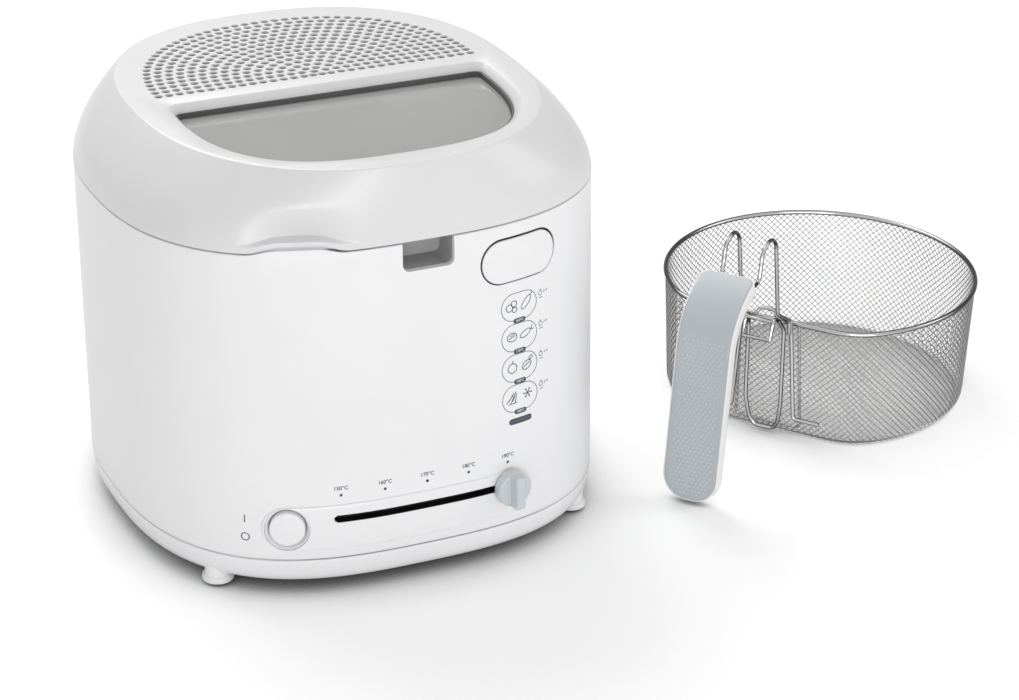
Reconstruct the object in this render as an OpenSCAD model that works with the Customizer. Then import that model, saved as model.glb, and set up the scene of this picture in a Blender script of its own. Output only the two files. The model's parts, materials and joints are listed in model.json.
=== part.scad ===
// Electric deep fryer with a hinged lid, a fixed bowl and a lift-out wire basket.
// The fryer's front faces -Y. The basket stands on the same floor, to the fryer's right.

/* [Body outline] */
// Width of the body at the lid seam
seam_w = 285; // [275:1:300]
// Reach of the lid seam in front of the centre line
seam_front = 142.5; // [140:0.5:148]
// Reach of the lid seam behind the centre line
seam_back = 150; // [144:0.5:158]
// How far the base seam stands inside the lid seam at each side
base_in = 1; // [-2:0.5:4]
// How far the base seam stands out in front of the lid seam
base_ahead = 8.5; // [6:0.5:11]
// How far the base seam stands inside the lid seam at the back
base_short = 4; // [0:0.5:6]
// How far the lid's flat top stands inside the lid seam at each side
top_in = 28.5; // [24:0.5:31]
// How far the lid's flat top stands inside the lid seam in front
top_front_in = 5.5; // [4:0.5:8]
// How far the lid's flat top stands inside the lid seam at the back
top_back_in = 21; // [18:0.5:25]

/* [Heights] */
// Height of the seam between the base tray and the body
base_z = 23.5; // [22:0.5:26]
// Height of the seam between the body and the lid
seam_z = 203; // [198:0.5:208]
// Height of the lid's flat top above the lid seam
lid_h = 43; // [40:0.5:48]
// Height of the feet, from the floor to the tray
foot_h = 8; // [7:0.5:10]

/* [Walls and gaps] */
// Thickness of the plastic walls
wall = 3; // [2.4:0.1:3.6]
// Gap at the visible seams
seam_gap = 0.8; // [0.5:0.1:1.2]
// Running clearance between pieces that move past each other
clearance = 0.4; // [0.3:0.05:0.6]
// Radial clearance of the hinge pin
pin_clearance = 0.05; // [0.03:0.01:0.08]

/* [Bowl] */
// Inner radius of the bowl at its mouth
bowl_r = 104; // [100:0.5:106]
// Height of the bowl's floor above the floor that the fryer stands on
bowl_floor_z = 60; // [56:0.5:70]
// Thickness of the bowl
bowl_t = 1.5; // [1:0.1:2]
// Centre of the bowl in front of the centre line
bowl_forward = 10; // [6:0.5:11]

/* [Lid top] */
// Diameter of a steam hole
vent_d = 4.8; // [3.6:0.1:5.2]
// Spacing of the steam holes
vent_pitch = 6.2; // [6:0.1:8]
// How far the window's recess stands inside the flat top at each side
window_in = 17; // [15:0.5:24]
// How far the window's recess stands inside the flat top in front
window_front_in = 16.5; // [15:0.5:24]
// Depth of the window's bevelled edge
bevel_h = 4.5; // [3.5:0.5:6]

/* [Front] */
// Width of the basket handle's notch in the rim
notch_w = 30; // [27:0.5:34]
// Depth of the notch below the lid seam
notch_h = 16.5; // [14:0.5:20]
// Width of the lid release button
release_w = 50; // [44:1:54]
// Height of the lid release button
release_h = 25; // [22:0.5:28]
// Diameter of the switch button
switch_d = 20; // [17:0.5:22]
// Half of the thermostat knob's travel along the front
travel = 50; // [44:1:52]
// Diameter of the thermostat knob
knob_d = 21; // [18:0.5:23]
// Height of the thermostat slot
slot_h = 3.6; // [3.2:0.1:4.4]

/* [Basket] */
// Radius of the basket at its rim
rim_r = 97; // [90:0.5:98]
// Radius of the basket at its floor
floor_r = 93.5; // [88:0.5:95]
// Height of the basket
basket_h = 79; // [70:0.5:84]
// Distance from the basket's centre to its flat panel at the rim
flat_d = 80; // [76:0.5:83]
// Diameter of the rim wire
rim_wire = 3; // [2.4:0.1:3.4]
// Diameter of the handle wires
handle_wire = 2.5; // [2.2:0.1:2.8]
// Number of mesh wires in each direction round the wall
mesh_wires = 52; // [40:1:60]
// Width of the grip
grip_w = 35; // [33:0.5:40]
// Basket's centre to the right of the fryer's centre
basket_right = 324; // [300:1:360]
// Turn of the basket, from its flat panel facing the front towards the fryer
basket_turn = 52.5; // [40:0.5:60]

/* [Hidden] */

ring_count = 72;     // points round each moulded outline
tiny = 0.01;         // overshoot of a cut past a face
front_n = 2.7;       // squareness of the front half of the outline
back_n = 2.1;        // squareness of the back half
skirt_power = 1.75;  // how late the lid's skirt turns inwards

base_w = seam_w - 2 * base_in;
base_front = seam_front + base_ahead;
base_back = seam_back - base_short;
top_w = seam_w - 2 * top_in;
top_front = seam_front - top_front_in;
top_back = seam_back - top_back_in;
window_w = top_w - 2 * window_in;
window_front = top_front - window_front_in;

body_top_z = seam_z - seam_gap / 2;
lid_low_z = seam_z + seam_gap / 2;
top_z = seam_z + lid_h;
deck_z = body_top_z - 1.8;              // deck that the bowl's flange rests on
deck_low_z = deck_z - wall;
bowl_y = -bowl_forward;
notch_depth = 20;        // reach of the notch's pocket into the body
notch_wall = 2;
flange_r = seam_front - notch_depth - notch_wall - bowl_forward - 0.5;
deck_hole_r = bowl_r + bowl_t + 2;

seam_size = [seam_w / 2, seam_front, seam_back, front_n, back_n];
base_size = [base_w / 2, base_front, base_back, front_n + 0.1, back_n];
top_size = [top_w / 2, top_front, top_back, 2.3, 2.4];

// ---- where the fryer and the basket stand: the middle of the whole floor plan is the origin
knob_gap = 1.8;        // knob's back to the front wall
knob_t = 12;           // depth of the knob
knob_ridge = 6.6;      // width of the ridge across the knob
whole_w = seam_w / 2 + basket_right + rim_r + rim_wire / 2;
fryer_x = seam_w / 2 - whole_w / 2;
hinge_y = seam_back + 5;
hinge_z = seam_z + 3;
ear_r = 4.2;
back_reach = hinge_y + ear_r;

module at_fryer() translate([fryer_x, fryer_y, 0]) children();

// ---- helpers for moulded shells
function mix(a, b, k) = a + (b - a) * k;
function unit(v) = v / norm(v);
function inset(size, d) = [size[0] - d, size[1] - d, size[2] - d, size[3], size[4]];

function outline_point(size, angle) =
    let (c = cos(angle), s = sin(angle))
    let (depth = s < 0 ? size[1] : size[2], n = s < 0 ? size[3] : size[4])
    [size[0] * sign(c) * pow(abs(c), 2 / n), depth * sign(s) * pow(abs(s), 2 / n)];

function outline(size) = [for (i = [0:ring_count - 1]) outline_point(size, 360 * i / ring_count)];

function raise(points, z) = [for (p = points) [p[0], p[1], z]];

// A closed solid through a stack of rings that all have the same number of points.
module skin(rings) {
    count = len(rings[0]);
    last = len(rings) - 1;
    points = [for (ring = rings) for (p = ring) p];
    sides = [for (i = [0:last - 1]) for (j = [0:count - 1])
        let (k = (j + 1) % count, low = i * count, high = low + count)
        for (face = [[low + j, high + j, high + k], [low + j, high + k, low + k]]) face];
    bottom = [for (j = [0:count - 1]) j];
    top = [for (j = [0:count - 1]) last * count + count - 1 - j];
    polyhedron(points, concat([bottom], sides, [top]), convexity = 8);
}

function body_size(z) =
    let (k = (z - base_z) / (seam_z - base_z))
    [for (i = [0:4]) mix(base_size[i], seam_size[i], k)];

module body_skin(d, z0, z1)
    skin([for (z = [z0, z1]) raise(outline(inset(body_size(z), d)), z)]);

// Front surface of the body: how far it reaches, and which way it faces.
function front_y(x, z) =
    let (size = body_size(z))
    -size[1] * pow(1 - pow(abs(x) / size[0], size[3]), 1 / size[3]);
function front_turn(x, z) = atan2(front_y(x + 1, z) - front_y(x - 1, z), 2);
front_lean = atan2(base_front - seam_front, seam_z - base_z);

// Children drawn facing -Y are set on the front surface.
module on_front(x, z)
    translate([x, front_y(x, z), z]) rotate([0, 0, front_turn(x, z)]) rotate([-front_lean, 0, 0]) children();

// Back surface of the body. Children drawn facing -Y are set on it, facing back.
function back_y(x, z) =
    let (size = body_size(z))
    size[2] * pow(1 - pow(abs(x) / size[0], size[4]), 1 / size[4]);
module on_back(x, z)
    translate([x, back_y(x, z), z]) rotate([0, 0, 180 + atan2(back_y(x + 1, z) - back_y(x - 1, z), 2)]) children();

// A flat outline drawn in X and Z, made thick along Y from y0 to y1.
module slab(y0, y1) translate([0, y1, 0]) rotate([90, 0, 0]) linear_extrude(y1 - y0) children();

module capsule(w, h) {
    for (side = [-1, 1]) translate([side * (w - h) / 2, 0]) circle(d = h, $fn = 48);
    square([w - h, h], center = true);
}

module ring_solid(r_out, r_in, z0, z1) translate([0, 0, z0]) difference() {
    cylinder(r = r_out, h = z1 - z0, $fn = 120);
    translate([0, 0, -1]) cylinder(r = r_in, h = z1 - z0 + 2, $fn = 120);
}

// ---- helpers for bent wires
function soft_path(p, r, steps = 4) = concat([p[0]],
    [for (i = [1:len(p) - 2])
        let (a = p[i] + r * unit(p[i - 1] - p[i]), b = p[i] + r * unit(p[i + 1] - p[i]))
        for (s = [0:steps]) let (t = s / steps)
            (1 - t) * (1 - t) * a + 2 * t * (1 - t) * p[i] + t * t * b],
    [p[len(p) - 1]]);

function tangent(p, i) =
    unit((i < len(p) - 1 ? unit(p[i + 1] - p[i]) : [0, 0, 0]) + (i > 0 ? unit(p[i] - p[i - 1]) : [0, 0, 0]));

function wire_ring(p, i, d, guide, sides) =
    let (t = tangent(p, i), u = unit(cross(guide, t)), v = cross(t, u))
    [for (s = [0:sides - 1]) p[i] + d / 2 * (cos(360 * s / sides) * u + sin(360 * s / sides) * v)];

// A round wire along a path. The guide is any direction that the path never runs along.
module wire(p, d, guide, sides = 10)
    skin([for (i = [0:len(p) - 1]) wire_ring(p, i, d, guide, sides)]);

// =============================== the fryer ===============================

notch_x = 4;             // the notch sits just right of the middle
pocket_back_y = -seam_front + notch_depth;
release_x = seam_w / 2 - 81.5;
release_z = seam_z - 22;
release_gap = 1;
release_sink = 1.2;      // button's face below the front surface
release_travel = 3;
switch_x = 63.5 - seam_w / 2;
switch_z = 43;
switch_rim = 2.7;        // width of the ring round the button
switch_r = switch_d / 2 + switch_rim;
switch_proud = 1.6;
switch_travel = 2.5;
slot_z = 48;
pad_z = 43;
pad_h = 26;
pad_left = switch_x - pad_h / 2;
pad_right = travel + 16;
pad_t = 1;

// The knob runs on a circle through the middle and both ends of its slot.
arc_sag = front_y(travel, slot_z) - front_y(0, slot_z);
arc_r = (travel * travel + arc_sag * arc_sag) / (2 * arc_sag);
arc_y = front_y(0, slot_z) + arc_r;
arc_half = asin(travel / arc_r);
knob_reach = arc_r + pad_t + knob_gap + knob_t;
front_reach = knob_reach * cos(arc_half) + knob_ridge / 2 * sin(arc_half) - arc_y;
fryer_y = (front_reach - back_reach) / 2;

// A flat bar bent on the knob's circle: r0 and r1 count outwards from the front surface.
module arc_bar(r0, r1, z0, z1, half) translate([0, arc_y, z0]) rotate([0, 0, -90 - half])
    rotate_extrude(angle = 2 * half, $fn = 360) translate([arc_r + r0, 0]) square([r1 - r0, z1 - z0]);

module rounded_notch(w, h, r) {
    translate([-w / 2, r]) square([w, h - r]);
    translate([-w / 2 + r, 0]) square([w - 2 * r, h]);
    for (side = [-1, 1]) translate([side * (w / 2 - r), r]) circle(r = r, $fn = 32);
}

module notch_block(extra, depth) translate([notch_x, 0, seam_z - notch_h - extra])
    slab(-seam_front - 20, pocket_back_y + depth) rounded_notch(notch_w + 2 * extra, notch_h + extra, 4 + extra);

module body_shell() color("white") at_fryer() difference() {
    union() {
        body_skin(0, base_z + seam_gap / 2, body_top_z);
        intersection() {
            body_skin(-pad_t, base_z + seam_gap / 2, body_top_z - 20);
            translate([(pad_left + pad_right) / 2, 0, pad_z]) slab(-base_front - 10, -base_front / 3)
                capsule(pad_right - pad_left, pad_h);
        }
    }
    difference() {
        body_skin(wall, base_z - 1, deck_low_z);
        notch_block(notch_wall, notch_wall);
    }
    difference() {
        body_skin(wall, deck_z, body_top_z + 1);
        notch_block(notch_wall, notch_wall);
    }
    translate([0, bowl_y, deck_low_z - 1]) cylinder(r = deck_hole_r, h = 20, $fn = 120);
    translate([0, 0, tiny]) notch_block(0, 0);
    translate([0, 0, notch_h]) notch_block(0, 0);
    on_front(release_x, release_z)
        slab(-8, 8) capsule(release_w + 2 * release_gap, release_h + 2 * release_gap);
    on_front(switch_x, switch_z) slab(-8, 8) circle(r = switch_r, $fn = 64);
    translate([0, 0, slot_z]) slab(-base_front - 10, -base_front / 2) capsule(2 * travel + 10, slot_h);
    catch_slot();
    on_back(gland_x, gland_z) rotate([90, 0, 0]) cylinder(r = gland_r + 0.1, h = 20, center = true, $fn = 48);
    for (side = [-1, 1]) translate([side * bracket_screw_x, seam_back, bracket_z])
        rotate([90, 0, 0]) cylinder(r = screw_r + 0.1, h = 30, center = true, $fn = 24);
}

// ---- base
tray_t = 2.5;
tray_low_z = foot_h;
module tray_skin(d) skin([
    for (step = [[-8, tray_low_z + d], [-3.5, tray_low_z + 1.5 + d], [-1, tray_low_z + 6], [0, base_z - seam_gap / 2 + (d > 0 ? 1 : 0)]])
        raise(outline(inset(base_size, d - step[0])), step[1])]);

foot_x = seam_w / 2 - 33.5;
foot_front = seam_front - 37;
foot_back = seam_back - 38;
foot_r = 7.4;
foot_flange_r = 9;
pad_low = 2;
foot_top_z = tray_low_z + 7;
foot_places = [[-foot_x, -foot_front], [foot_x, -foot_front], [-foot_x * 0.86, foot_back], [foot_x * 0.86, foot_back]];

module base_tray() color("white") at_fryer() difference() {
    union() {
        difference() {
            tray_skin(0);
            tray_skin(tray_t);
        }
        for (p = screw_places) translate([p[0], p[1], tray_low_z + 0.5]) cylinder(r = 5, h = screw_boss_h, $fn = 32);
    }
    for (p = foot_places) translate([p[0], p[1], -1]) cylinder(r = foot_r + 0.05, h = foot_top_z + 1, $fn = 48);
    for (p = screw_places) translate([p[0], p[1], 0]) cylinder(r = screw_r + 0.1, h = 60, $fn = 24);
    for (i = [-3:3]) translate([i * 12, 20, tray_low_z]) cube([4, 60, 12], center = true);
}

module feet() color("whitesmoke") at_fryer() for (p = foot_places) translate([p[0], p[1], 0])
    difference() {
        rotate_extrude($fn = 64) polygon([[0, pad_low], [foot_flange_r - 0.8, pad_low], [foot_flange_r, pad_low + 0.8],
            [foot_flange_r, pad_low + 2.6], [foot_flange_r - 0.6, pad_low + 3.4], [foot_r, pad_low + 3.6],
            [foot_r, foot_top_z], [0, foot_top_z]]);
        translate([0, 0, pad_low - 1]) cylinder(r = foot_r - 1.5, h = 2.2, $fn = 48);
    }

module foot_pads() color("dimgray") at_fryer() for (p = foot_places) translate([p[0], p[1], 0])
    cylinder(r = foot_r - 1.6, h = pad_low + 1.2, $fn = 48);

screw_r = 1.5;
screw_boss_h = 30;
screw_places = [[-foot_x / 2 - 5.5, seam_back - 55], [foot_x / 2 + 5.5, seam_back - 55], [14 - foot_x, 92.5 - seam_front], [foot_x - 14, 92.5 - seam_front]];
module base_screws() color("silver") at_fryer() for (p = screw_places) translate([p[0], p[1], 0]) {
    translate([0, 0, tray_low_z - 2]) cylinder(r = 3, h = 1.95, $fn = 32);
    translate([0, 0, tray_low_z - 1]) cylinder(r = screw_r, h = screw_boss_h - 2, $fn = 24);
}

// ---- bowl and heater
module bowl_profile(d) {
    corner = 14;
    polygon(concat([[0, bowl_floor_z + d]],
        [for (a = [-90:15:0]) [bowl_r - 4 - corner + (corner + bowl_t - d) * cos(a) , bowl_floor_z + bowl_t + corner + (corner + bowl_t - d) * sin(a)]],
        [[bowl_r + bowl_t - d, deck_z - 4], [bowl_r + bowl_t - d, deck_z + 20], [0, deck_z + 20]]));
}

module bowl() color("dimgray") at_fryer() translate([0, bowl_y, 0]) rotate_extrude($fn = 144) {
    intersection() {
        difference() {
            bowl_profile(0);
            bowl_profile(bowl_t);
        }
        square([flange_r, deck_z + bowl_t]);
    }
    translate([bowl_r + bowl_t - 0.4, deck_z]) square([flange_r - bowl_r - bowl_t + 0.4, bowl_t]);
}

element_d = 7;
element_r = 66;
element_z = bowl_floor_z - element_d / 2 - 0.1;
module heating_element() color("dimgray") at_fryer() translate([0, bowl_y, element_z]) {
    rotate([0, 0, 105]) rotate_extrude(angle = 330, $fn = 96) translate([element_r, 0]) circle(d = element_d, $fn = 24);
    for (a = [105, 75]) rotate([0, 0, a]) translate([element_r, 0, -18]) cylinder(d = element_d, h = 18, $fn = 24);
}

heater_plate_t = 2;
module heater_plate() color("silver") at_fryer() translate([0, bowl_y, element_z - element_d / 2 - 0.1 - heater_plate_t])
    difference() {
        cylinder(r = element_r + 16, h = heater_plate_t, $fn = 96);
        translate([0, 0, -1]) cylinder(r = 24, h = heater_plate_t + 2, $fn = 64);
        for (a = [105, 75]) rotate([0, 0, a]) translate([element_r, 0, -1]) cylinder(d = element_d + 1, h = heater_plate_t + 2, $fn = 24);
    }

// ---- thermostat behind the front
rail_low_z = slot_z - 6;
rail_high_z = slot_z + 6;
guide_t = 1;
carriage_depth = 6;
guide_r = -wall - 1.1;                       // face of the guide strip, behind the wall
carriage_r = guide_r - guide_t - clearance;  // front of the carriage block
rail_r = carriage_r - carriage_depth - clearance;
rail_t = 4;
bracket_r = rail_r - rail_t;
rail_half = arc_half + 0.95;

module slot_guide() color("black") at_fryer() difference() {
    arc_bar(guide_r - guide_t, guide_r, slot_z - 7, slot_z + 7, rail_half);
    translate([0, 0, slot_z]) slab(-base_front - 10, -base_front / 2) capsule(2 * travel + 9, slot_h - 0.6);
}

module thermostat_rail() color("gray") at_fryer() {
    arc_bar(bracket_r, rail_r, rail_low_z, rail_high_z, rail_half);
    for (z = [rail_low_z - 2, rail_high_z - 0.2]) arc_bar(bracket_r, guide_r - guide_t, z, z + 2.2, rail_half);
}

module control_bracket() color("lightgray") at_fryer() {
    arc_bar(bracket_r - 2, bracket_r, tray_low_z + tray_t + 0.1, rail_high_z + 6, rail_half);
    arc_bar(bracket_r - 14, bracket_r - 1.8, tray_low_z + tray_t + 0.1, tray_low_z + tray_t + 2.1, rail_half);
}

// The carriage rests at the hot end of the slot, and so does the knob on its stem.
rest_turn = arc_half;
stem_w = 6;
module at_carriage() translate([0, arc_y, slot_z]) rotate([0, 0, rest_turn]) translate([0, -arc_r, 0]) children();

module thermostat_carriage() color("gray") at_fryer() at_carriage() difference() {
    union() {
        translate([-9, -carriage_r, -5.6]) cube([18, carriage_depth, 11.2]);
        translate([-stem_w / 2, -knob_gap - pad_t - 6, -slot_h / 2 + clearance])
            cube([stem_w, knob_gap + pad_t + 6 - carriage_r, slot_h - 2 * clearance - 0.2]);
    }
    translate([0, -carriage_r + carriage_depth + 1, 0]) rotate([90, 0, 0]) cylinder(r = 2, h = 4, $fn = 32);
}

module thermostat_knob() color("slategray") at_fryer() at_carriage() translate([0, -knob_gap - pad_t, 0]) difference() {
    union() {
        rotate([90, 0, 0]) rotate_extrude($fn = 72)
            polygon([[0, 0], [knob_d / 2, 0], [knob_d / 2, 4.6], [knob_d / 2 - 0.5, 5.6], [knob_d / 2 - 1.6, 6], [0, 6]]);
        intersection() {
            rotate([90, 0, 0]) cylinder(d = knob_d - 1, h = knob_t, $fn = 72);
            translate([0, -knob_t / 2, 0]) cube([knob_ridge, knob_t, knob_d], center = true);
        }
    }
    translate([-stem_w / 2 - 0.1, -6.2, -slot_h / 2 + clearance - 0.1]) cube([stem_w + 0.2, 7, slot_h - 2 * clearance]);
}

// ---- on/off switch
bezel_depth = 13;
module switch_bezel() color("white") at_fryer() on_front(switch_x, switch_z) rotate([90, 0, 0]) difference() {
    translate([0, 0, -bezel_depth]) cylinder(r = switch_r - 0.1, h = bezel_depth + 0.6, $fn = 72);
    translate([0, 0, -17]) cylinder(r = switch_d / 2 + clearance, h = 20, $fn = 72);
    translate([0, 0, -2.8]) cylinder(r1 = switch_d / 2 + clearance, r2 = switch_r - 0.7, h = 3.5, $fn = 72);
}

switch_back = 6 + switch_travel;
module switch_button() color("white") at_fryer() on_front(switch_x, switch_z) rotate([90, 0, 0])
    translate([0, 0, -switch_back + switch_travel]) rotate_extrude($fn = 72) polygon([[0, 0], [switch_d / 2, 0],
        [switch_d / 2, switch_back - switch_travel + switch_proud - 0.9], [switch_d / 2 - 0.3, switch_back - switch_travel + switch_proud - 0.3],
        [switch_d / 2 - 1.2, switch_back - switch_travel + switch_proud], [0, switch_back - switch_travel + switch_proud + 0.4]]);

module switch_body() color("dimgray") at_fryer() on_front(switch_x, switch_z) rotate([90, 0, 0]) {
    translate([0, 0, -bezel_depth - 7]) cylinder(r = switch_d / 2 + clearance - 0.1, h = bezel_depth + 7 - switch_back - clearance, $fn = 72);
    translate([0, 0, -bezel_depth - 3]) cylinder(r = switch_r - 0.6, h = 2.9, $fn = 72);
    for (x = [-5, 5]) translate([x - 0.4, -3, -bezel_depth - 13]) cube([0.8, 6, 6.1]);
}

// ---- lid release
frame_t = 1.4;
frame_depth = 15;
stem_r = 4;
module release_frame() color("white") at_fryer() difference() {
    union() {
        intersection() {
            on_front(release_x, release_z) slab(0, frame_depth + 2)
                capsule(release_w + 2 * (release_gap + frame_t), release_h + 2 * (release_gap + frame_t));
            body_skin(wall + 0.2, release_z - 40, release_z + 20);
        }
        translate([catch_x - 8, catch_y - 8, hook_low_z - 2.8]) cube([16, 17, 7]);
    }
    on_front(release_x, release_z) {
        slab(-8, frame_depth) capsule(release_w + 2 * release_gap, release_h + 2 * release_gap);
        slab(-8, frame_depth + 3) circle(r = stem_r + clearance, $fn = 48);
    }
    translate([catch_x - catch_w / 2 - clearance, catch_y - 7, hook_low_z - 0.15]) cube([catch_w + 2 * clearance, 30, 20]);
}

button_t = 5;
module release_button() color("white") at_fryer() {
    intersection() {
        on_front(release_x, release_z) slab(-8, release_sink + button_t) capsule(release_w, release_h);
        body_skin(release_sink, release_z - 40, release_z + 20);
    }
    on_front(release_x, release_z) slab(release_sink + button_t - 0.5, frame_depth + 3.9) circle(r = stem_r, $fn = 48);
}

spring_wire = 1;
module release_spring() color("silver") at_fryer() on_front(release_x, release_z)
    translate([0, release_sink + button_t + spring_wire / 2 + 0.1, 0]) rotate([-90, 0, 0])
        wire([for (i = [0:36]) let (a = i * 36) [6 * cos(a), 6 * sin(a), i * 0.12]], spring_wire, [0, 0, 1], 6);

// The lid's tongue hangs through the deck. Its barb is held by the hook's nose, 0.4 above it.
catch_x = release_x - 6;
catch_y = front_y(catch_x, seam_z) + wall + 20;
catch_w = 12;
catch_t = 2.4;
barb = 1.6;
catch_low_z = deck_low_z - 8;
barb_h = 3;
hook_low_z = release_z - 5;
module catch_slot() translate([catch_x, catch_y + catch_t / 2, seam_z]) cube([catch_w + 3, 9, 30], center = true);

module latch_hook() color("gray") at_fryer() translate([catch_x - catch_w / 2, catch_y + catch_t, 0]) {
    translate([0, barb + clearance, hook_low_z]) cube([catch_w, 3, deck_low_z - clearance - hook_low_z]);
    translate([0, clearance - 0.1, catch_low_z + barb_h + clearance])
        cube([catch_w, barb + 1, deck_low_z - clearance - catch_low_z - barb_h - clearance]);
    translate([0, -catch_t - 3, hook_low_z]) cube([catch_w, barb + catch_t + 5, 8]);
}

module lid_catch() color("gray") at_fryer() translate([catch_x - catch_w / 2, catch_y, 0]) {
    translate([0, 0, catch_low_z]) cube([catch_w, catch_t, catch_top_z - catch_low_z]);
    translate([0, catch_t - 0.1, catch_low_z]) rotate([90, 0, 90]) linear_extrude(catch_w)
        polygon([[0, 0], [0.4, 0], [barb + 0.1, 1.2], [barb + 0.1, barb_h], [0, barb_h]]);
    translate([0, 0, catch_top_z - 2]) cube([catch_w, 9, 2]);
}

// ---- hinge
bracket_z = seam_z - 14;
bracket_screw_x = 12;
ear_x = 16;
ear_w = 8;
pin_r = 2;
knuckle_x = ear_x + ear_w + clearance;
module hinge_bracket() color("white") at_fryer() difference() {
    union() {
        difference() {
            translate([-ear_x - ear_w, seam_back - 8, bracket_z - 8]) cube([2 * (ear_x + ear_w), 12.5, 16]);
            translate([0, 0, bracket_z - 20]) linear_extrude(40) polygon(outline(inset(body_size(bracket_z + 8), -0.15)));
        }
        for (side = [-1, 1]) translate([side * (ear_x + ear_w / 2), 0, 0]) {
            translate([-ear_w / 2, hinge_y - ear_r, bracket_z + 2]) cube([ear_w, 2 * ear_r, hinge_z - bracket_z - 2]);
            translate([0, hinge_y, hinge_z]) rotate([0, 90, 0]) cylinder(r = ear_r, h = ear_w, center = true, $fn = 48);
        }
    }
    translate([0, hinge_y, hinge_z]) rotate([0, 90, 0]) cylinder(r = pin_r + pin_clearance, h = 100, center = true, $fn = 48);
}

knuckle_w = 9;
module hinge_pin() color("silver") at_fryer() translate([0, hinge_y, hinge_z]) rotate([0, 90, 0])
    cylinder(r = pin_r, h = 2 * (knuckle_x + knuckle_w), center = true, $fn = 48);

module hinge_arm() color("white") at_fryer() difference() {
    for (side = [-1, 1]) translate([side * (knuckle_x + knuckle_w / 2), 0, 0]) {
        translate([0, hinge_y, hinge_z]) rotate([0, 90, 0]) cylinder(r = ear_r, h = knuckle_w, center = true, $fn = 48);
        translate([-knuckle_w / 2, seam_back - 12, lid_low_z + 0.2]) cube([knuckle_w, hinge_y - seam_back + 12, hinge_z + ear_r - lid_low_z - 0.2]);
    }
    translate([0, hinge_y, hinge_z]) rotate([0, 90, 0]) cylinder(r = pin_r + pin_clearance, h = 100, center = true, $fn = 48);
    translate([0, 0, hinge_z - 20]) linear_extrude(40) polygon(outline(inset(seam_size, -0.1)));
}

// ---- mains side
gland_x = seam_w / 2 - 72.5;
gland_z = 34;
gland_r = 7;
module cord_gland() color("gray") at_fryer() on_back(gland_x, gland_z) rotate([-90, 0, 0]) difference() {
    union() {
        translate([0, 0, -3.2]) cylinder(r1 = 8.4, r2 = 9, h = 3, $fn = 48);
        translate([0, 0, -1]) cylinder(r = gland_r, h = 14, $fn = 48);
    }
    translate([0, 0, -5]) cylinder(r = 3.6, h = 24, $fn = 48);
}

module terminal_block() color("ivory") at_fryer() translate([gland_x - 52, 92, tray_low_z + tray_t + 0.1]) difference() {
    cube([30, 16, 14]);
    for (i = [0:2]) translate([5 + 10 * i, -1, 8]) rotate([-90, 0, 0]) cylinder(r = 2, h = 18, $fn = 24);
}

module thermal_fuse() color("silver") at_fryer() translate([-20, bowl_y, bowl_floor_z - 4.1]) {
    cylinder(r = 8, h = 4, $fn = 48);
    translate([-11, -3, 0]) cube([22, 6, 1]);
}

// ---- lid
function skirt_size(k, d) = inset([for (i = [0:4]) mix(seam_size[i], top_size[i], pow(k, skirt_power))], d);
function lid_rings(d) = [for (k = [0, 0.15, 0.3, 0.45, 0.6, 0.75, 0.88, 1])
    raise(outline(skirt_size(k, d)), mix(lid_low_z, top_z, k))];

plate_t = 3;
plate_edge = 6;          // rim between the skirt and the perforated plate
scoop_x = 74.5 - seam_w / 2;
scoop_r = 51;
scoop_depth = 9;
scoop_z = seam_z - 6;
module scoop(r) translate([scoop_x, front_y(scoop_x, seam_z), scoop_z])
    rotate([0, 0, front_turn(scoop_x, seam_z)]) translate([0, scoop_depth - scoop_r, 0]) sphere(r = r, $fn = 96);

// The window is half of the top outline with its two back corners rounded.
window_back = 3;
window_corner = 9;
window_n = 2.8;
function window_ring(d) =
    let (w = window_w / 2 - d, r = max(window_corner - d, 1), mid = -window_back - d - r, reach = window_front + mid - d)
    concat([for (a = [0:18:90]) [w - r + r * cos(a), mid + r * sin(a)]],
        [for (a = [90:18:180]) [-w + r + r * cos(a), mid + r * sin(a)]],
        [for (i = [1:35]) let (a = 180 + 5 * i)
            [w * sign(cos(a)) * pow(abs(cos(a)), 2 / window_n), mid - reach * pow(abs(sin(a)), 2 / window_n)]]);

// Steam holes lie on nested arcs that follow the back of the top outline.
vent_back = 11.5;
vent_rows = floor((top_w / 2 - 19) / vent_pitch);
function vent_arc(row, t) =
    let (w = top_w / 2 - 19 - row * vent_pitch, d = top_back - 19 - vent_back - row * vent_pitch)
    [-w * sign(cos(t)) * pow(abs(cos(t)), 2 / 2.25), vent_back + d * pow(sin(t), 2 / 2.25)];
arc_steps = 60;
function arc_table(row) =
    let (p = [for (i = [0:arc_steps]) vent_arc(row, 180 * i / arc_steps)])
    [for (i = 0, s = 0; i <= arc_steps; s = s + (i < arc_steps ? norm(p[i + 1] - p[i]) : 0), i = i + 1) [s, p[i]]];
function along(table, s) =
    let (i = max([for (j = [0:arc_steps - 1]) table[j][0] <= s ? j : 0]))
    let (k = (s - table[i][0]) / (table[i + 1][0] - table[i][0]))
    mix(table[i][1], table[i + 1][1], k);
function vent_places(row) =
    let (table = arc_table(row), total = table[arc_steps][0], count = max(1, round(total / (vent_pitch + 0.2))))
    [for (i = [0:count]) along(table, min(total - 0.001, total * i / count))];

module vents() for (row = [0:vent_rows - 1]) for (p = vent_places(row)) translate(p) circle(d = vent_d, $fn = 16);

well_low_z = top_z - bevel_h - 7.5;
catch_top_z = well_low_z - 0.1;
pane_t = 3;
pane_top_z = top_z - bevel_h - 3;
boss_r = 4;
boss_side = window_w / 2 - 4.4;
boss_back = vent_back - vent_d / 2 - boss_r - 0.9;
boss_places = [[-boss_side, -40], [boss_side, -40], [-boss_side + 8, boss_back], [boss_side - 8, boss_back]];
liner_z = lid_low_z + 5;

module top_plate() translate([0, 0, top_z - plate_t]) linear_extrude(plate_t) difference() {
    polygon(outline(inset(top_size, plate_edge)));
    vents();
}

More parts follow.
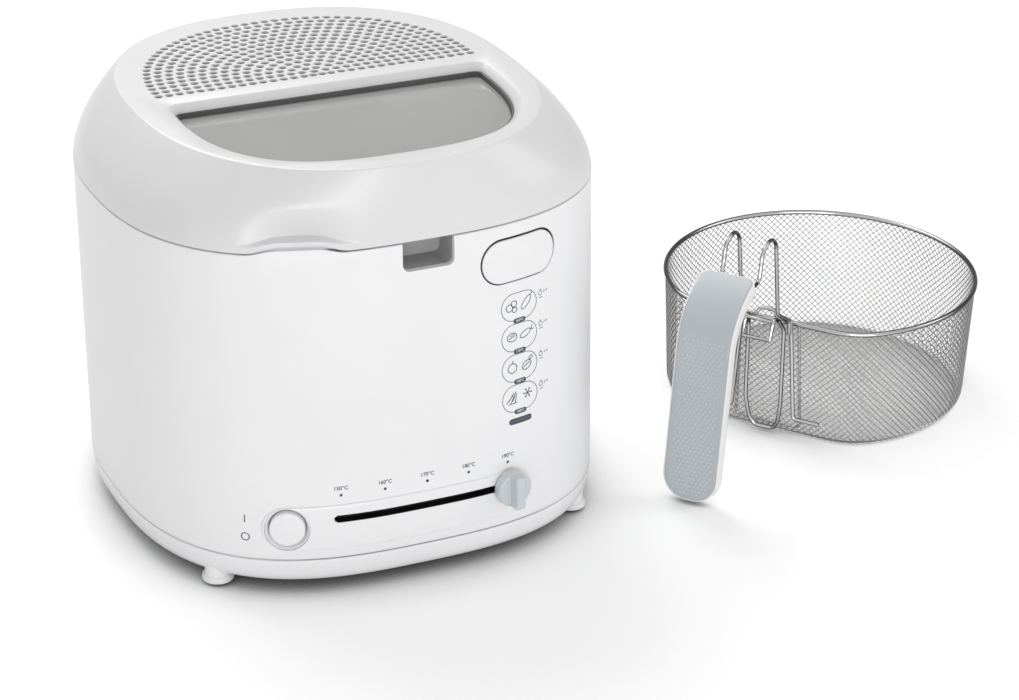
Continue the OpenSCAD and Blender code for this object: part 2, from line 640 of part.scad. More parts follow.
module lid_shell() color("white") at_fryer() difference() {
    union() {
        difference() {
            skin(lid_rings(0));
            difference() {
                union() {
                    skin([for (k = [0, 0.3, 0.6, 0.93]) raise(outline(skirt_size(k, wall)), mix(lid_low_z, top_z, k) - (k == 0 ? 1 : 0))]);
                    translate([0, 0, top_z - wall - 1]) linear_extrude(wall + 2) polygon(outline(inset(top_size, plate_edge)));
                }
                scoop(scoop_r + wall);
            }
        }
        top_plate();
        translate([0, 0, well_low_z]) linear_extrude(top_z - 1 - well_low_z) polygon(window_ring(1.6));
        for (p = boss_places) translate([p[0], p[1], liner_z + 1.3])
            cylinder(r = boss_r, h = (p[1] < 0 ? well_low_z : top_z - plate_t) - liner_z, $fn = 32);
    }
    scoop(scoop_r);
    skin([raise(window_ring(4), top_z - bevel_h), raise(window_ring(-tiny), top_z + tiny)]);
    translate([0, 0, pane_top_z - pane_t]) linear_extrude(bevel_h + pane_t + 3) polygon(window_ring(4));
    translate([0, 0, well_low_z - 1]) linear_extrude(20) polygon(window_ring(8));
    for (p = boss_places) translate([p[0], p[1], liner_z]) cylinder(r = screw_r + 0.1, h = 16, $fn = 24);
}

module window_gasket() color("black") at_fryer() translate([0, 0, pane_top_z - pane_t + 0.05])
    linear_extrude(pane_t + 2.9) difference() {
        polygon(window_ring(4.1));
        polygon(window_ring(5.2));
    }

module window_pane() color([0.55, 0.56, 0.57, 0.8]) at_fryer() translate([0, 0, pane_top_z - pane_t + 0.05])
    linear_extrude(pane_t) polygon(window_ring(5.3));

liner_r = bowl_r + 7;
module lid_liner() color("silver") at_fryer() difference() {
    translate([0, bowl_y, liner_z]) rotate_extrude($fn = 120)
        polygon([[0, 0], [liner_r, 0], [liner_r, 5], [liner_r - 1.2, 5], [liner_r - 1.2, 1.2], [0, 1.2]]);
    translate([0, 0, liner_z - 1]) linear_extrude(4) polygon(window_ring(14));
    for (i = [-5:5]) for (j = [0:3]) translate([i * 12, 22 + j * 14, liner_z]) cylinder(r = 2.5, h = 8, center = true, $fn = 24);
    for (p = boss_places) translate([p[0], p[1], liner_z - 1]) cylinder(r = screw_r + 0.1, h = 4, $fn = 24);
}

module lid_seal() color("gray") at_fryer() translate([0, bowl_y, 0])
    ring_solid(bowl_r + 6, bowl_r + 1, deck_z + bowl_t + 0.3, liner_z - 0.05);

module lid_screws() color("silver") at_fryer() for (p = boss_places) translate([p[0], p[1], 0]) {
    translate([0, 0, liner_z - 2]) cylinder(r = 3, h = 1.95, $fn = 32);
    translate([0, 0, liner_z - 1]) cylinder(r = screw_r, h = 14, $fn = 24);
}

filter_low_z = liner_z + 5.05;
filter_high_z = top_z - plate_t - 0.2;
module filter_outline(d) intersection() {
    polygon(outline(inset(top_size, 22 + d)));
    translate([-200, 9 + d]) square([400, 400]);
}

module filter_tray() color("gray") at_fryer() difference() {
    translate([0, 0, filter_low_z]) linear_extrude(filter_high_z - filter_low_z) filter_outline(0);
    translate([0, 0, filter_low_z + 2]) linear_extrude(filter_high_z) filter_outline(1.6);
    for (i = [-4:4]) for (j = [0:3]) translate([i * 14, 24 + j * 13, filter_low_z]) cylinder(r = 4, h = 8, center = true, $fn = 24);
}

module filter_pad() color("darkgray") at_fryer() translate([0, 0, filter_low_z + 2.1])
    linear_extrude(filter_high_z - filter_low_z - 9) filter_outline(1.8);

// =============================== the basket ===============================

basket_y = -15;
module at_basket() translate([fryer_x + basket_right, fryer_y + basket_y, 0]) rotate([0, 0, -basket_turn]) children();

corner_r = 16;           // rounding where the flat panel meets the round wall
// Outline of the basket at radius r with its flat panel at distance d: half of it, as three stretches.
function flat_angle(r, d) = acos((d - corner_r) / (r - corner_r));

// Point at share s (0 to 1) round the outline, starting behind the middle of the flat panel.
function basket_point(r, d, s) =
    let (b = flat_angle(r, d), chord = (r - corner_r) * sin(b), arc = corner_r * b * PI / 180,
        big = r * (180 - b) * PI / 180, half = chord + arc + big, side = s < 0.5 ? 1 : -1,
        run = (s < 0.5 ? s : 1 - s) * 2 * half,
        p = run < chord ? [run, -d]
            : run < chord + arc ? let (a = (run - chord) / corner_r * 180 / PI) [chord + corner_r * sin(a), -(d - corner_r) - corner_r * cos(a)]
            : let (a = b + (run - chord - arc) / r * 180 / PI) [r * sin(a), -r * cos(a)])
    [side * p[0], p[1]];

rim_z = basket_h - rim_wire / 2;
// A hoop of wire along the outline.
module hoop(r, d, z, thick, count, sides)
    closed_wire([for (i = [0:count - 1]) let (p = basket_point(r, d, i / count)) [p[0], p[1], z]], thick, [0, 0, 1], sides);

module basket_rim() color("silver") at_basket() hoop(rim_r, flat_d, rim_z, rim_wire, 84, 10);

hem_wire = 2.2;
mesh_d = 1.2;
mesh_low_z = hem_wire + 0.5;
mesh_high_z = rim_z - rim_wire / 2 - 0.5;
wall_slope = (rim_r - floor_r) / (basket_h - 4);
mesh_steps = 4;
// One mesh wire climbs the wall while it runs a share of the way round it.
function mesh_path(start, way, layer) = [for (i = [0:mesh_steps])
    let (k = i / mesh_steps, z = mix(mesh_low_z, mesh_high_z, k), lean = (rim_r - floor_r) * (1 - z / basket_h),
        s = start + way * k * 0.125, p = basket_point(rim_r - lean - layer, flat_d - lean - layer, s - floor(s)))
    [p[0], p[1], z]];

module basket_wall() color("lightgray") at_basket() {
    paths = [for (layer = [0, 1]) for (i = [0:mesh_wires - 1]) mesh_path(i / mesh_wires, layer == 0 ? 1 : -1, layer * (mesh_d + 0.05))];
    many_wires(paths, mesh_d, [0.1, 0.2, 1], 3);
}

// Many separate wires as one set of closed shells. A guide with a part across every wire keeps them straight.
module many_wires(paths, d, guide, sides) {
    steps = len(paths[0]);
    size = steps * sides;
    points = [for (p = paths) for (i = [0:steps - 1]) for (q = wire_ring(p, i, d, radial(p[i]), sides)) q];
    faces = [for (w = [0:len(paths) - 1]) let (first = w * size) for (f = concat(
        [[for (j = [0:sides - 1]) first + j]],
        [for (i = [0:steps - 2]) for (j = [0:sides - 1])
            let (k = (j + 1) % sides, low = first + i * sides, high = low + sides)
            for (face = [[low + j, high + j, high + k], [low + j, high + k, low + k]]) face],
        [[for (j = [0:sides - 1]) first + size - 1 - j]])) f];
    polyhedron(points, faces, convexity = 20);
}
function radial(p) = unit([p[0], p[1], 0]);

// The floor and the hem under the wall.
floor_t = 1;
module basket_floor_outline(d) polygon([for (i = [0:95]) basket_point(floor_r - d, flat_d - (rim_r - floor_r) - d, i / 96)]);

module basket_floor() color("lightgray") at_basket() translate([0, 0, 0.6]) linear_extrude(floor_t) difference() {
    basket_floor_outline(0.6 + hem_wire / 2 + 0.2);
    intersection() {
        basket_floor_outline(hem_wire + 2.4);
        rotate([0, 0, 45]) for (i = [-10:10]) for (j = [-10:10]) translate([i * 9, j * 9]) square(7.4, center = true);
    }
}

module basket_hem() color("silver") at_basket()
    hoop(floor_r - 0.6, flat_d - (rim_r - floor_r) - 0.6, hem_wire / 2, hem_wire, 72, 8);

// ---- wires on the flat panel; y is minus the distance from the basket's centre
frame_x = 19;
frame_spread = 2.5;      // how much further apart the frame's wires stand at the floor
frame_wire = 1.8;
function panel_d(z) = flat_d - (rim_r - floor_r) * (1 - z / basket_h);
module panel_frame() color("gray") at_basket() {
    inner = mesh_d * 1.5 + frame_wire / 2 + 0.25;
    high = rim_z - rim_wire / 2 - 0.2;
    low = 5;
    wire(soft_path([[-frame_x, -panel_d(high) + inner, high], [-frame_x - frame_spread, -panel_d(low) + inner, low],
        [frame_x + frame_spread, -panel_d(low) + inner, low], [frame_x, -panel_d(high) + inner, high]], 4), frame_wire, [0, 1, 0.2]);
}

bracket_x = 11.7;
hook_x = 9;              // the hooks stand closer together than the legs under them
bracket_d = flat_d + rim_wire / 2 + handle_wire / 2 + 0.1;
module handle_bracket() color("silver") at_basket() {
    low_d = panel_d(3) + mesh_d / 2 + handle_wire / 2 + 0.9;
    bend_z = rim_z - 4;
    half = soft_path([[bracket_x, -bracket_d + 0.4, 24], [bracket_x, -bracket_d, bend_z], [hook_x, -bracket_d - 6, rim_z + 5.2],
        [hook_x, -bracket_d - 11, rim_z + 4.6], [hook_x, -bracket_d - 14.5, rim_z - 6.5]], 2.4);
    foot = soft_path([[-bracket_x, -bracket_d + 0.4, 24], [-bracket_x + 2, -low_d - 1, 9], [-bracket_x + 5.7, -low_d, 3.4],
        [bracket_x - 5.7, -low_d, 3.4], [bracket_x - 2, -low_d - 1, 9], [bracket_x, -bracket_d + 0.4, 24]], 2.4);
    mirrored = [for (i = [0:len(half) - 1]) [-half[i][0], half[i][1], half[i][2]]];
    loop = concat([for (i = [1:len(foot) - 2]) foot[i]], half, [for (i = [len(mirrored) - 1:-1:0]) mirrored[i]]);
    closed_wire(loop, handle_wire, [0.3, 1, 0.45]);
    wire([[-hook_x, -bracket_d - 10.3, rim_z + 4.2], [hook_x, -bracket_d - 10.3, rim_z + 4.2]], handle_wire - 0.2, [0, 1, 0.3], 8);
}

// A wire whose end joins its start.
module closed_wire(p, d, guide, sides = 10) {
    count = len(p);
    points = [for (i = [0:count - 1])
        let (t = unit(unit(p[(i + 1) % count] - p[i]) + unit(p[i] - p[(i + count - 1) % count])), u = unit(cross(guide, t)), v = cross(t, u))
        for (s = [0:sides - 1]) p[i] + d / 2 * (cos(360 * s / sides) * u + sin(360 * s / sides) * v)];
    faces = [for (i = [0:count - 1]) for (j = [0:sides - 1])
        let (k = (j + 1) % sides, low = i * sides, high = ((i + 1) % count) * sides)
        for (face = [[low + j, high + j, high + k], [low + j, high + k, low + k]]) face];
    polyhedron(points, faces, convexity = 8);
}

rod_x = 16;              // where the rods stand at the top, and at the foot
rod_foot_x = 20.7;
foot_reach = 37.9;
rod_d = flat_d + rim_wire / 2 + handle_wire / 2 + 0.3;
rod_low_z = 15.1;
rod_high_z = basket_h + 1.2;
module lift_rods() color("silver") at_basket() {
    half = [[foot_reach, -rod_d, rod_low_z], [rod_foot_x, -rod_d, rod_low_z], [rod_x, -rod_d, rod_high_z],
        [7.2, -rod_d, rod_high_z], [4.6, -rod_d + 2, rod_high_z + 4]];
    wire(soft_path(concat([for (p = half) [-p[0], p[1], p[2]]], [for (i = [len(half) - 1:-1:0]) half[i]]), 2.1), handle_wire, [0, 1, 0.1]);
}

// Each hairpin starts beside its rod, steps out over the hook and bends over to the grip.
hair_x = 11.9;
hair_d = rod_d + handle_wire - 0.1;
hair_r = 11;
hair_mid_d = flat_d + 32.7;
hair_mid_z = basket_h + 52.7;
module hairpin_wires() color("silver") at_basket() for (side = [-1, 1]) {
    over = [for (a = [0:20:180]) [hair_x, -hair_mid_d + hair_r * cos(a), hair_mid_z + hair_r * sin(a)]];
    up = soft_path([[rod_x + 0.4, -hair_d, rod_high_z - 8], [rod_x, -hair_d, rod_high_z + 1.2], [hair_x, -flat_d - 14.5, basket_h + 8.6],
        [hair_x, -hair_mid_d + hair_r + 0.15, hair_mid_z - 1]], 2.4);
    down = soft_path([[hair_x, -hair_mid_d - hair_r - 0.2, hair_mid_z - 1], [hair_x, -hair_mid_d - hair_r - 2.4, grip_hole_z],
        [hair_x, -grip_hole_d - 11, grip_hole_z]], 4);
    wire([for (p = concat(up, over, down)) [side * p[0], p[1], p[2]]], handle_wire, [1, 0.05, 0.1]);
}

// ---- grip: its outer face runs down a curve, then almost straight to the tip
grip_top = [flat_d + 61.5, basket_h + 51.5];
grip_bend = [flat_d + 96.3, basket_h + 14];
grip_tip = [flat_d + 109.5, 5];
grip_t = 9;
grip_corner = 6;
grip_hole_z = grip_top[1] - 9;
grip_hole_d = grip_top[0] - 1;       // mouth of the sockets under the grip's top end
function bezier(a, b, c, d, t) = pow(1 - t, 3) * a + 3 * t * pow(1 - t, 2) * b + 3 * t * t * (1 - t) * c + pow(t, 3) * d;
function grip_face() = concat([for (i = [0:8]) bezier(grip_top, grip_top + [16.5, -6], grip_bend + [-1.8, 22], grip_bend, i / 8)], [grip_tip]);
function face_normal(p, i) = let (a = p[max(0, i - 1)], b = p[min(len(p) - 1, i + 1)], t = unit(b - a)) [t[1], -t[0]];
function grip_side(inner, outer) =
    let (p = grip_face())
    concat([for (i = [0:len(p) - 1]) p[i] + outer * face_normal(p, i)], [for (i = [len(p) - 1:-1:0]) p[i] + inner * face_normal(p, i)]);

// Front view of the grip: square shoulders on top, a round tip below.
module grip_front(d, low, high) {
    tip_r = 15 - d;
    w = grip_w - 2 * d;
    translate([-w / 2, low + tip_r]) square([w, high - low - tip_r]);
    for (side = [-1, 1]) translate([side * (w / 2 - tip_r), low + tip_r]) circle(r = tip_r, $fn = 48);
    translate([-w / 2 + tip_r, low]) square([w - 2 * tip_r, 10]);
}

// Side profile (distance, height) stood up and made thick along X.
module grip_profile(w) rotate([90, 0, -90]) translate([0, 0, -w / 2]) linear_extrude(w) children();

// Plan of the grip: rounded corners at its top end.
module grip_plan(d) translate([0, -grip_top[0] + 3 - d]) linear_extrude(300) {
    r = grip_corner - d;
    w = grip_w - 2 * d;
    for (side = [-1, 1]) translate([side * (w / 2 - r), -r]) circle(r = r, $fn = 32);
    translate([-w / 2 + r, -r]) square([w - 2 * r, r]);
    translate([-w / 2, -100]) square([w, 100 - r]);
}

module grip_shell() color("white") at_basket() difference() {
    union() {
        intersection() {
            grip_profile(grip_w) polygon(grip_side(grip_t, 0));
            slab(-grip_tip[0] - 20, -100) grip_front(0, grip_tip[1] - 2, grip_top[1] + 12);
            grip_plan(0);
        }
        translate([-grip_w / 2 + 2, -grip_hole_d - 15, grip_hole_z - 4.5]) cube([grip_w - 4, 15, 7.2]);
    }
    intersection() {
        grip_profile(grip_w) polygon(grip_side(2.6, -1));
        slab(-grip_tip[0] - 20, -100) grip_front(1.3, grip_tip[1] - 0.7, grip_top[1] + 12);
        grip_plan(1.3);
    }
    for (side = [-1, 1]) translate([side * hair_x, -grip_hole_d + 2, grip_hole_z]) rotate([90, 0, 0])
        cylinder(r = handle_wire / 2 + 0.1, h = 13.1, $fn = 32);
}

module grip_insert() color("lightslategray") at_basket() intersection() {
    grip_profile(grip_w) polygon(grip_side(2.5, -0.3));
    slab(-grip_tip[0] - 20, -100) grip_front(1.4, grip_tip[1] - 0.6, grip_top[1] + 12);
    grip_plan(1.4);
}

body_shell();
base_tray();
feet();
foot_pads();
bowl();
heating_element();
heater_plate();
control_bracket();
thermostat_rail();
slot_guide();
switch_bezel();
switch_body();
release_frame();
hinge_bracket();
hinge_pin();
cord_gland();
terminal_block();
thermal_fuse();
base_screws();
lid_shell();
window_pane();
window_gasket();
lid_liner();
lid_seal();
filter_tray();
filter_pad();
lid_catch();
hinge_arm();
lid_screws();
release_button();
release_spring();
latch_hook();
switch_button();
thermostat_knob();
thermostat_carriage();
basket_rim();
basket_wall();
basket_floor();
basket_hem();
panel_frame();
handle_bracket();
lift_rods();
hairpin_wires();
grip_shell();
grip_insert();
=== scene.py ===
import bpy
import bmesh
import json
import math
from mathutils import Matrix, Vector


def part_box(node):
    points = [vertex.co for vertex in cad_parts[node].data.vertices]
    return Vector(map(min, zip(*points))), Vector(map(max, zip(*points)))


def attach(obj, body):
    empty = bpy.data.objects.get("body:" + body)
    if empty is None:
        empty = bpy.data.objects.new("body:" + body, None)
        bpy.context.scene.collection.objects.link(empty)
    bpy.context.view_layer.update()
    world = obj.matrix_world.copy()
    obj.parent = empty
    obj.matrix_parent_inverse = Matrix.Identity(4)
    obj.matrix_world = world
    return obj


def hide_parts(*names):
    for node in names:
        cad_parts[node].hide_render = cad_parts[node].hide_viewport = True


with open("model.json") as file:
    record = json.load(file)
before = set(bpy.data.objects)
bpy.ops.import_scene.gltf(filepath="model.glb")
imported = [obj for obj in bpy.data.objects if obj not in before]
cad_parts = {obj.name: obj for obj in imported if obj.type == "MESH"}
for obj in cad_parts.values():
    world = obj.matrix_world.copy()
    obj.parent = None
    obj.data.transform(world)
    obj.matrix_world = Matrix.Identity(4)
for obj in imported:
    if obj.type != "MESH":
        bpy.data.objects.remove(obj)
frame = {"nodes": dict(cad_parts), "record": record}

scene = bpy.context.scene
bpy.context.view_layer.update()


def shifted(x, y, z=0):
    return Matrix.Translation((x, y, z))


def turned(angle, axis):
    return Matrix.Rotation(math.radians(angle), 4, axis)


def around(angle):
    return math.cos(math.radians(angle)), math.sin(math.radians(angle))


def mix(a, b, k):
    return a + (b - a) * k


def power(base, n):
    return math.copysign(abs(base) ** (2 / n), base)


# Sizes are in millimetres, from the middle line of the fryer and from the floor.
# The hinge pin lies behind that middle line, and gives the fryer its place.
placeSizes = {"pinBehind": 0.155, "basketAt": (324, -15), "basketTurn": -52.5}
pinLow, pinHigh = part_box("hinge_pin")
pinMiddle = (pinLow + pinHigh) / 2
fryerPlace = shifted(pinMiddle.x, pinMiddle.y - placeSizes["pinBehind"]) @ Matrix.Scale(0.001, 4)
basketPlace = fryerPlace @ shifted(*placeSizes["basketAt"]) @ turned(placeSizes["basketTurn"], "Z")


def facedOut(bm):
    bmesh.ops.recalc_face_normals(bm, faces=bm.faces)
    if bm.calc_volume(signed=True) < 0:
        bmesh.ops.reverse_faces(bm, faces=bm.faces)
    return bm


def makeRings(shape, levels, segments=96, ends="fill"):
    # a tall tube of circles; the shape then places each point from its angle and its level
    bm = bmesh.new()
    bmesh.ops.create_circle(bm, cap_ends=False, radius=1, segments=segments)
    firstLoop = bm.edges[:]
    lastLoop = firstLoop
    for step in range(len(levels) - 1):
        grown = bmesh.ops.extrude_edge_only(bm, edges=lastLoop)["geom"]
        bmesh.ops.translate(bm, vec=(0, 0, 1), verts=[g for g in grown if isinstance(g, bmesh.types.BMVert)])
        lastLoop = [g for g in grown if isinstance(g, bmesh.types.BMEdge) and g.is_boundary]
    if ends == "join":
        bmesh.ops.bridge_loops(bm, edges=firstLoop + lastLoop)
    if ends == "fill":
        bmesh.ops.edgeloop_fill(bm, edges=firstLoop)
        bmesh.ops.edgeloop_fill(bm, edges=lastLoop)
    for vert in bm.verts:
        angle = math.degrees(math.atan2(vert.co.y, vert.co.x)) % 360
        vert.co = shape(angle, *levels[round(vert.co.z)])
    return facedOut(bm)


def closedUp(bm, near):
    # closes a sheet whose first and last rings lie flat on themselves
    bmesh.ops.remove_doubles(bm, verts=bm.verts, dist=near)
    return facedOut(bm)


def lathe(profile, segments=64, closed=False):
    # the profile is (radius, height); it is spun round the Z axis
    bm = bmesh.new()
    verts = [bm.verts.new((r, 0, z)) for r, z in profile]
    for a, b in zip(verts, verts[1:]):
        bm.edges.new((a, b))
    if closed:
        bm.edges.new((verts[-1], verts[0]))
    bmesh.ops.spin(bm, geom=bm.verts[:] + bm.edges[:], cent=(0, 0, 0), axis=(0, 0, 1), dvec=(0, 0, 0),
                   angle=2 * math.pi, steps=segments, use_merge=True, use_duplicate=False)
    return closedUp(bm, 0.0005)


def pin(radius, low, high):
    return [(0, low), (radius, low), (radius, high), (0, high)]


def bevelled(bm, edges, offset, segments):
    bmesh.ops.bevel(bm, geom=edges, offset=offset, offset_type="OFFSET", segments=segments, profile=0.5,
                    affect="EDGES", material=-1, clamp_overlap=True)
    return bm


def makeBlock(low, high, edge=0.0):
    bm = bmesh.new()
    bmesh.ops.create_cube(bm, size=1)
    low, high = Vector(low), Vector(high)
    bm.transform(shifted(*(low + high) / 2) @ Matrix.Diagonal((*(high - low), 1)))
    return bevelled(bm, bm.edges[:], edge, 3) if edge else bm


def joined(parts):
    whole = bmesh.new()
    for part in parts:
        mesh = bpy.data.meshes.new("part")
        part.to_mesh(mesh)
        part.free()
        whole.from_mesh(mesh)
        bpy.data.meshes.remove(mesh)
    return whole


def moved(bm, matrix):
    bm.transform(matrix)
    return bm


def lathesAt(places, profile, segments):
    return joined([moved(lathe(profile, segments), shifted(*place)) for place in places])


def looseObject(bm, name):
    mesh = bpy.data.meshes.new(name)
    bm.to_mesh(mesh)
    bm.free()
    obj = bpy.data.objects.new(name, mesh)
    scene.collection.objects.link(obj)
    return obj


def meshOf(obj):
    # an object's own shape, with its modifiers done
    mesh = bpy.data.meshes.new_from_object(obj.evaluated_get(bpy.context.evaluated_depsgraph_get()))
    bm = bmesh.new()
    bm.from_mesh(mesh)
    bpy.data.meshes.remove(mesh)
    return bm


def carved(bm, *tools):
    # a tool cuts away, unless it comes in a pair with another operation
    target = looseObject(bm, "target")
    used = []
    for tool in tools:
        operation, cutter = tool if isinstance(tool, tuple) else ("DIFFERENCE", tool)
        used.append(looseObject(cutter, "tool"))
        modifier = target.modifiers.new("carve", "BOOLEAN")
        modifier.operation = operation
        modifier.solver = "EXACT"
        modifier.object = used[-1]
    result = meshOf(target)
    for obj in used + [target]:
        oldMesh = obj.data
        bpy.data.objects.remove(obj)
        bpy.data.meshes.remove(oldMesh)
    return result


def addPiece(bm, name, body, slot, *nodes, finish=None, place=fryerPlace, smooth=32):
    bm.transform(place)
    bm.normal_update()
    for face in bm.faces:
        face.smooth = True
    for edge in bm.edges:
        edge.smooth = edge.calc_face_angle(0) < math.radians(smooth)
    piece = looseObject(bm, name)
    piece.data.materials.append(finishes[finish or slotFinish[slot]])
    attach(piece, body)
    if nodes:
        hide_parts(*nodes)


def softPath(points, radius, steps=8):
    # rounds the corners of a bent wire's path
    points = [Vector(p) for p in points]
    path = [points[0]]
    for before, corner, after in zip(points, points[1:], points[2:]):
        a = corner + radius * (before - corner).normalized()
        b = corner + radius * (after - corner).normalized()
        for i in range(steps + 1):
            t = i / steps
            path.append((1 - t) ** 2 * a + 2 * t * (1 - t) * corner + t * t * b)
    return path + [points[-1]]


def makeWire(path, diameter, sides=12, closed=False, roundEnds=True):
    # a round wire along a path; its cross-section is carried along without twist
    path = [Vector(p) for p in path]
    count = len(path)
    tangents = []
    for i, p in enumerate(path):
        before = path[i - 1] if i or closed else p
        after = path[(i + 1) % count] if i < count - 1 or closed else p
        tangents.append((after - before).normalized())
    side = tangents[0].orthogonal().normalized()
    frames = []
    for i in range(count):
        side = (side - tangents[i] * side.dot(tangents[i])).normalized()
        frames.append((side.copy(), tangents[i].cross(side)))
    spare = 0.0
    if closed:
        last = (side - tangents[0] * side.dot(tangents[0])).normalized()
        spare = math.atan2(last.dot(frames[0][1]), last.dot(frames[0][0]))

    def wirePoint(angle, i, size=1, shift=0):
        u, v = frames[i]
        a = math.radians(angle) - spare * i / count
        return path[i] + tangents[i] * shift + diameter / 2 * size * (math.cos(a) * u + math.sin(a) * v)

    levels = [(i,) for i in range(count)]
    if roundEnds and not closed:
        # each end narrows in three steps
        taper = [(0.45, 0), (0.85, 0.09 * diameter), (1, 0.25 * diameter)]
        levels = ([(0, size, shift) for size, shift in taper] + levels[1:-1]
                  + [(count - 1, size, -shift) for size, shift in reversed(taper)])
    return makeRings(wirePoint, levels, sides, "join" if closed else "fill")


def softCopy(node, edge=0.0, smooth=32):
    # a merged copy of a built node, with its edges broken
    bm = bmesh.new()
    bm.from_mesh(frame["nodes"][node].data)
    bmesh.ops.remove_doubles(bm, verts=bm.verts, dist=0.000002)
    if edge:
        bmesh.ops.dissolve_limit(bm, angle_limit=math.radians(1), verts=bm.verts, edges=bm.edges,
                                 use_dissolve_boundaries=False)
        bm.normal_update()
        bevelled(bm, [e for e in bm.edges if e.calc_face_angle(0) > math.radians(smooth)], edge * 0.001, 2)
    return bm


# outlines of the moulded body
bodySizes = {
    # half width, reach in front, reach behind, squareness in front and behind
    "seam": (142.5, 142.5, 150, 2.7, 2.1),
    "base": (141.5, 151, 146, 2.8, 2.1),
    "top": (114, 137, 129, 2.3, 2.4),
    "baseSeam": 23.5, "lidSeam": 203, "seamGap": 0.8, "wall": 3, "lean": (8.5, 179.5),
    # the rooms under and over the deck, from low to high; holes are (radius, from, to)
    "rooms": [(22.5, 197.8), (200.8, 206)], "deckHole": (107.5, 190, 212), "holeAt": (0, -10),
    "points": 288, "rows": 40,
    "glandAt": (70, 34), "glandHole": (7.1, -12, 12),
    "screwsAt": [(-12, 150, 189), (12, 150, 189)], "screwHole": (1.6, -15, 15),
    "hookRoom": ((47.5, -116.5, 188), (62.5, -107.5, 218)),
}


def outlinePoint(angle, size, z, inset):
    c, s = around(angle)
    reach, n = (size[1], size[3]) if s < 0 else (size[2], size[4])
    return (size[0] - inset) * power(c, n), (reach - inset) * power(s, n), z


def mixSize(a, b, k):
    return tuple(mix(a[i], b[i], k) for i in range(5))


def bodySize(z):
    b = bodySizes
    return mixSize(b["base"], b["seam"], (z - b["baseSeam"]) / (b["lidSeam"] - b["baseSeam"]))


def bodyTube(levels):
    # levels are (height, inset) pairs
    return makeRings(outlinePoint, [(bodySize(z), z, inset) for z, inset in levels], bodySizes["points"])


def frontY(x, z, lift=0):
    size = bodySize(z)
    share = min(abs(x) / (size[0] + lift), 1)
    return -(size[1] + lift) * (1 - share ** size[3]) ** (1 / size[3])


def backY(x, z):
    size = bodySize(z)
    return size[2] * (1 - (abs(x) / size[0]) ** size[4]) ** (1 / size[4])


def slopeOf(wall, x, z):
    return math.atan2(wall(x + 1, z) - wall(x - 1, z), 2)


def onFront(x, z):
    return (shifted(x, frontY(x, z), z) @ Matrix.Rotation(slopeOf(frontY, x, z), 4, "Z")
            @ Matrix.Rotation(-math.atan2(*bodySizes["lean"]), 4, "X"))


def outward(matrix):
    # turns a shape that was spun round Z so that it looks out of the front
    return matrix @ turned(90, "X")


def draped(matrix, u, w, lift):
    # a point u across and w up, laid on the front surface and lifted off it
    point = matrix @ Vector((u, 0, w))
    along = matrix.to_3x3() @ Vector((0, 1, 0))
    for tries in range(3):
        miss = frontY(point.x, point.z, lift) - point.y
        point = point + along * miss * along.y
    return point


def capsulePoint(width, height, angle, inset=0):
    # walks round a capsule at an even pace
    r = height / 2 - inset
    straight = width - height
    total = 2 * straight + 2 * math.pi * (height / 2)
    run = angle / 360 * total
    arc = math.pi * height / 2
    if run < arc:
        a = run / (height / 2) - math.pi / 2
        return straight / 2 + r * math.cos(a), r * math.sin(a)
    if run < arc + straight:
        return straight / 2 - (run - arc), r
    if run < 2 * arc + straight:
        a = (run - arc - straight) / (height / 2) + math.pi / 2
        return -straight / 2 + r * math.cos(a), r * math.sin(a)
    return -straight / 2 + (run - 2 * arc - straight), -r


def capsuleSheet(matrix, width, height, levels, segments=120, ends="fill"):
    # levels are (inset, lift) pairs
    def sheetPoint(angle, inset, lift):
        return draped(matrix, *capsulePoint(width, height, angle, inset), lift)
    return makeRings(sheetPoint, levels, segments, ends)


def capsuleBar(matrix, width, height, near, far, segments=96):
    # a straight bar through the front, from depth near to depth far
    def barPoint(angle, depth):
        x, z = capsulePoint(width, height, angle)
        return matrix @ Vector((x, depth, z))
    return makeRings(barPoint, [(near,), (far,)], segments)


def discBar(matrix, radius, near, far, segments=64):
    return capsuleBar(matrix, 2 * radius + 0.001, 2 * radius, near, far, segments)


def addNode(tree, kind, inputs=(), **settings):
    node = tree.nodes.new("ShaderNode" + kind)
    for label, value in settings.items():
        setattr(node, label, value)
    return setInputs(tree, node, inputs)


def setInputs(tree, node, inputs):
    # an input is a fixed value, or the output that feeds it
    for label, value in dict(inputs).items():
        if isinstance(value, bpy.types.NodeSocket):
            tree.links.new(value, node.inputs[label])
        else:
            node.inputs[label].default_value = value
    return node


def surfaceGrain():
    # soft mottling, and a fine relief as an even normal
    group = bpy.data.node_groups.new("surfaceGrain", "ShaderNodeTree")
    for way, labels in (("INPUT", {"Size": "Float", "Relief": "Float", "Stretch": "Vector"}),
                        ("OUTPUT", {"Mottle": "Float", "Fine": "Float", "Normal": "Vector"})):
        for label, kind in labels.items():
            group.interface.new_socket(name=label, in_out=way, socket_type="NodeSocket" + kind)
    source, result = group.nodes.new("NodeGroupInput").outputs, group.nodes.new("NodeGroupOutput")
    place = addNode(group, "TexCoord").outputs["Object"]
    grid = addNode(group, "Mapping", {"Vector": place, "Scale": source["Stretch"]}).outputs["Vector"]
    broad = addNode(group, "TexNoise", {"Vector": grid, "Scale": 22, "Detail": 3}).outputs["Fac"]
    fine = addNode(group, "TexNoise", {"Vector": grid, "Scale": source["Size"], "Detail": 2}).outputs["Fac"]
    bump = addNode(group, "Bump", {"Distance": 0.0002, "Height": fine, "Strength": source["Relief"]})
    setInputs(group, result, {"Mottle": broad, "Fine": fine, "Normal": bump.outputs["Normal"]})
    return group


grainGroup = surfaceGrain()
finishes = {}


def displayColour(colour):
    return (*[c / 12.92 if c <= 0.04045 else ((c + 0.055) / 1.055) ** 2.4 for c in colour], 1)


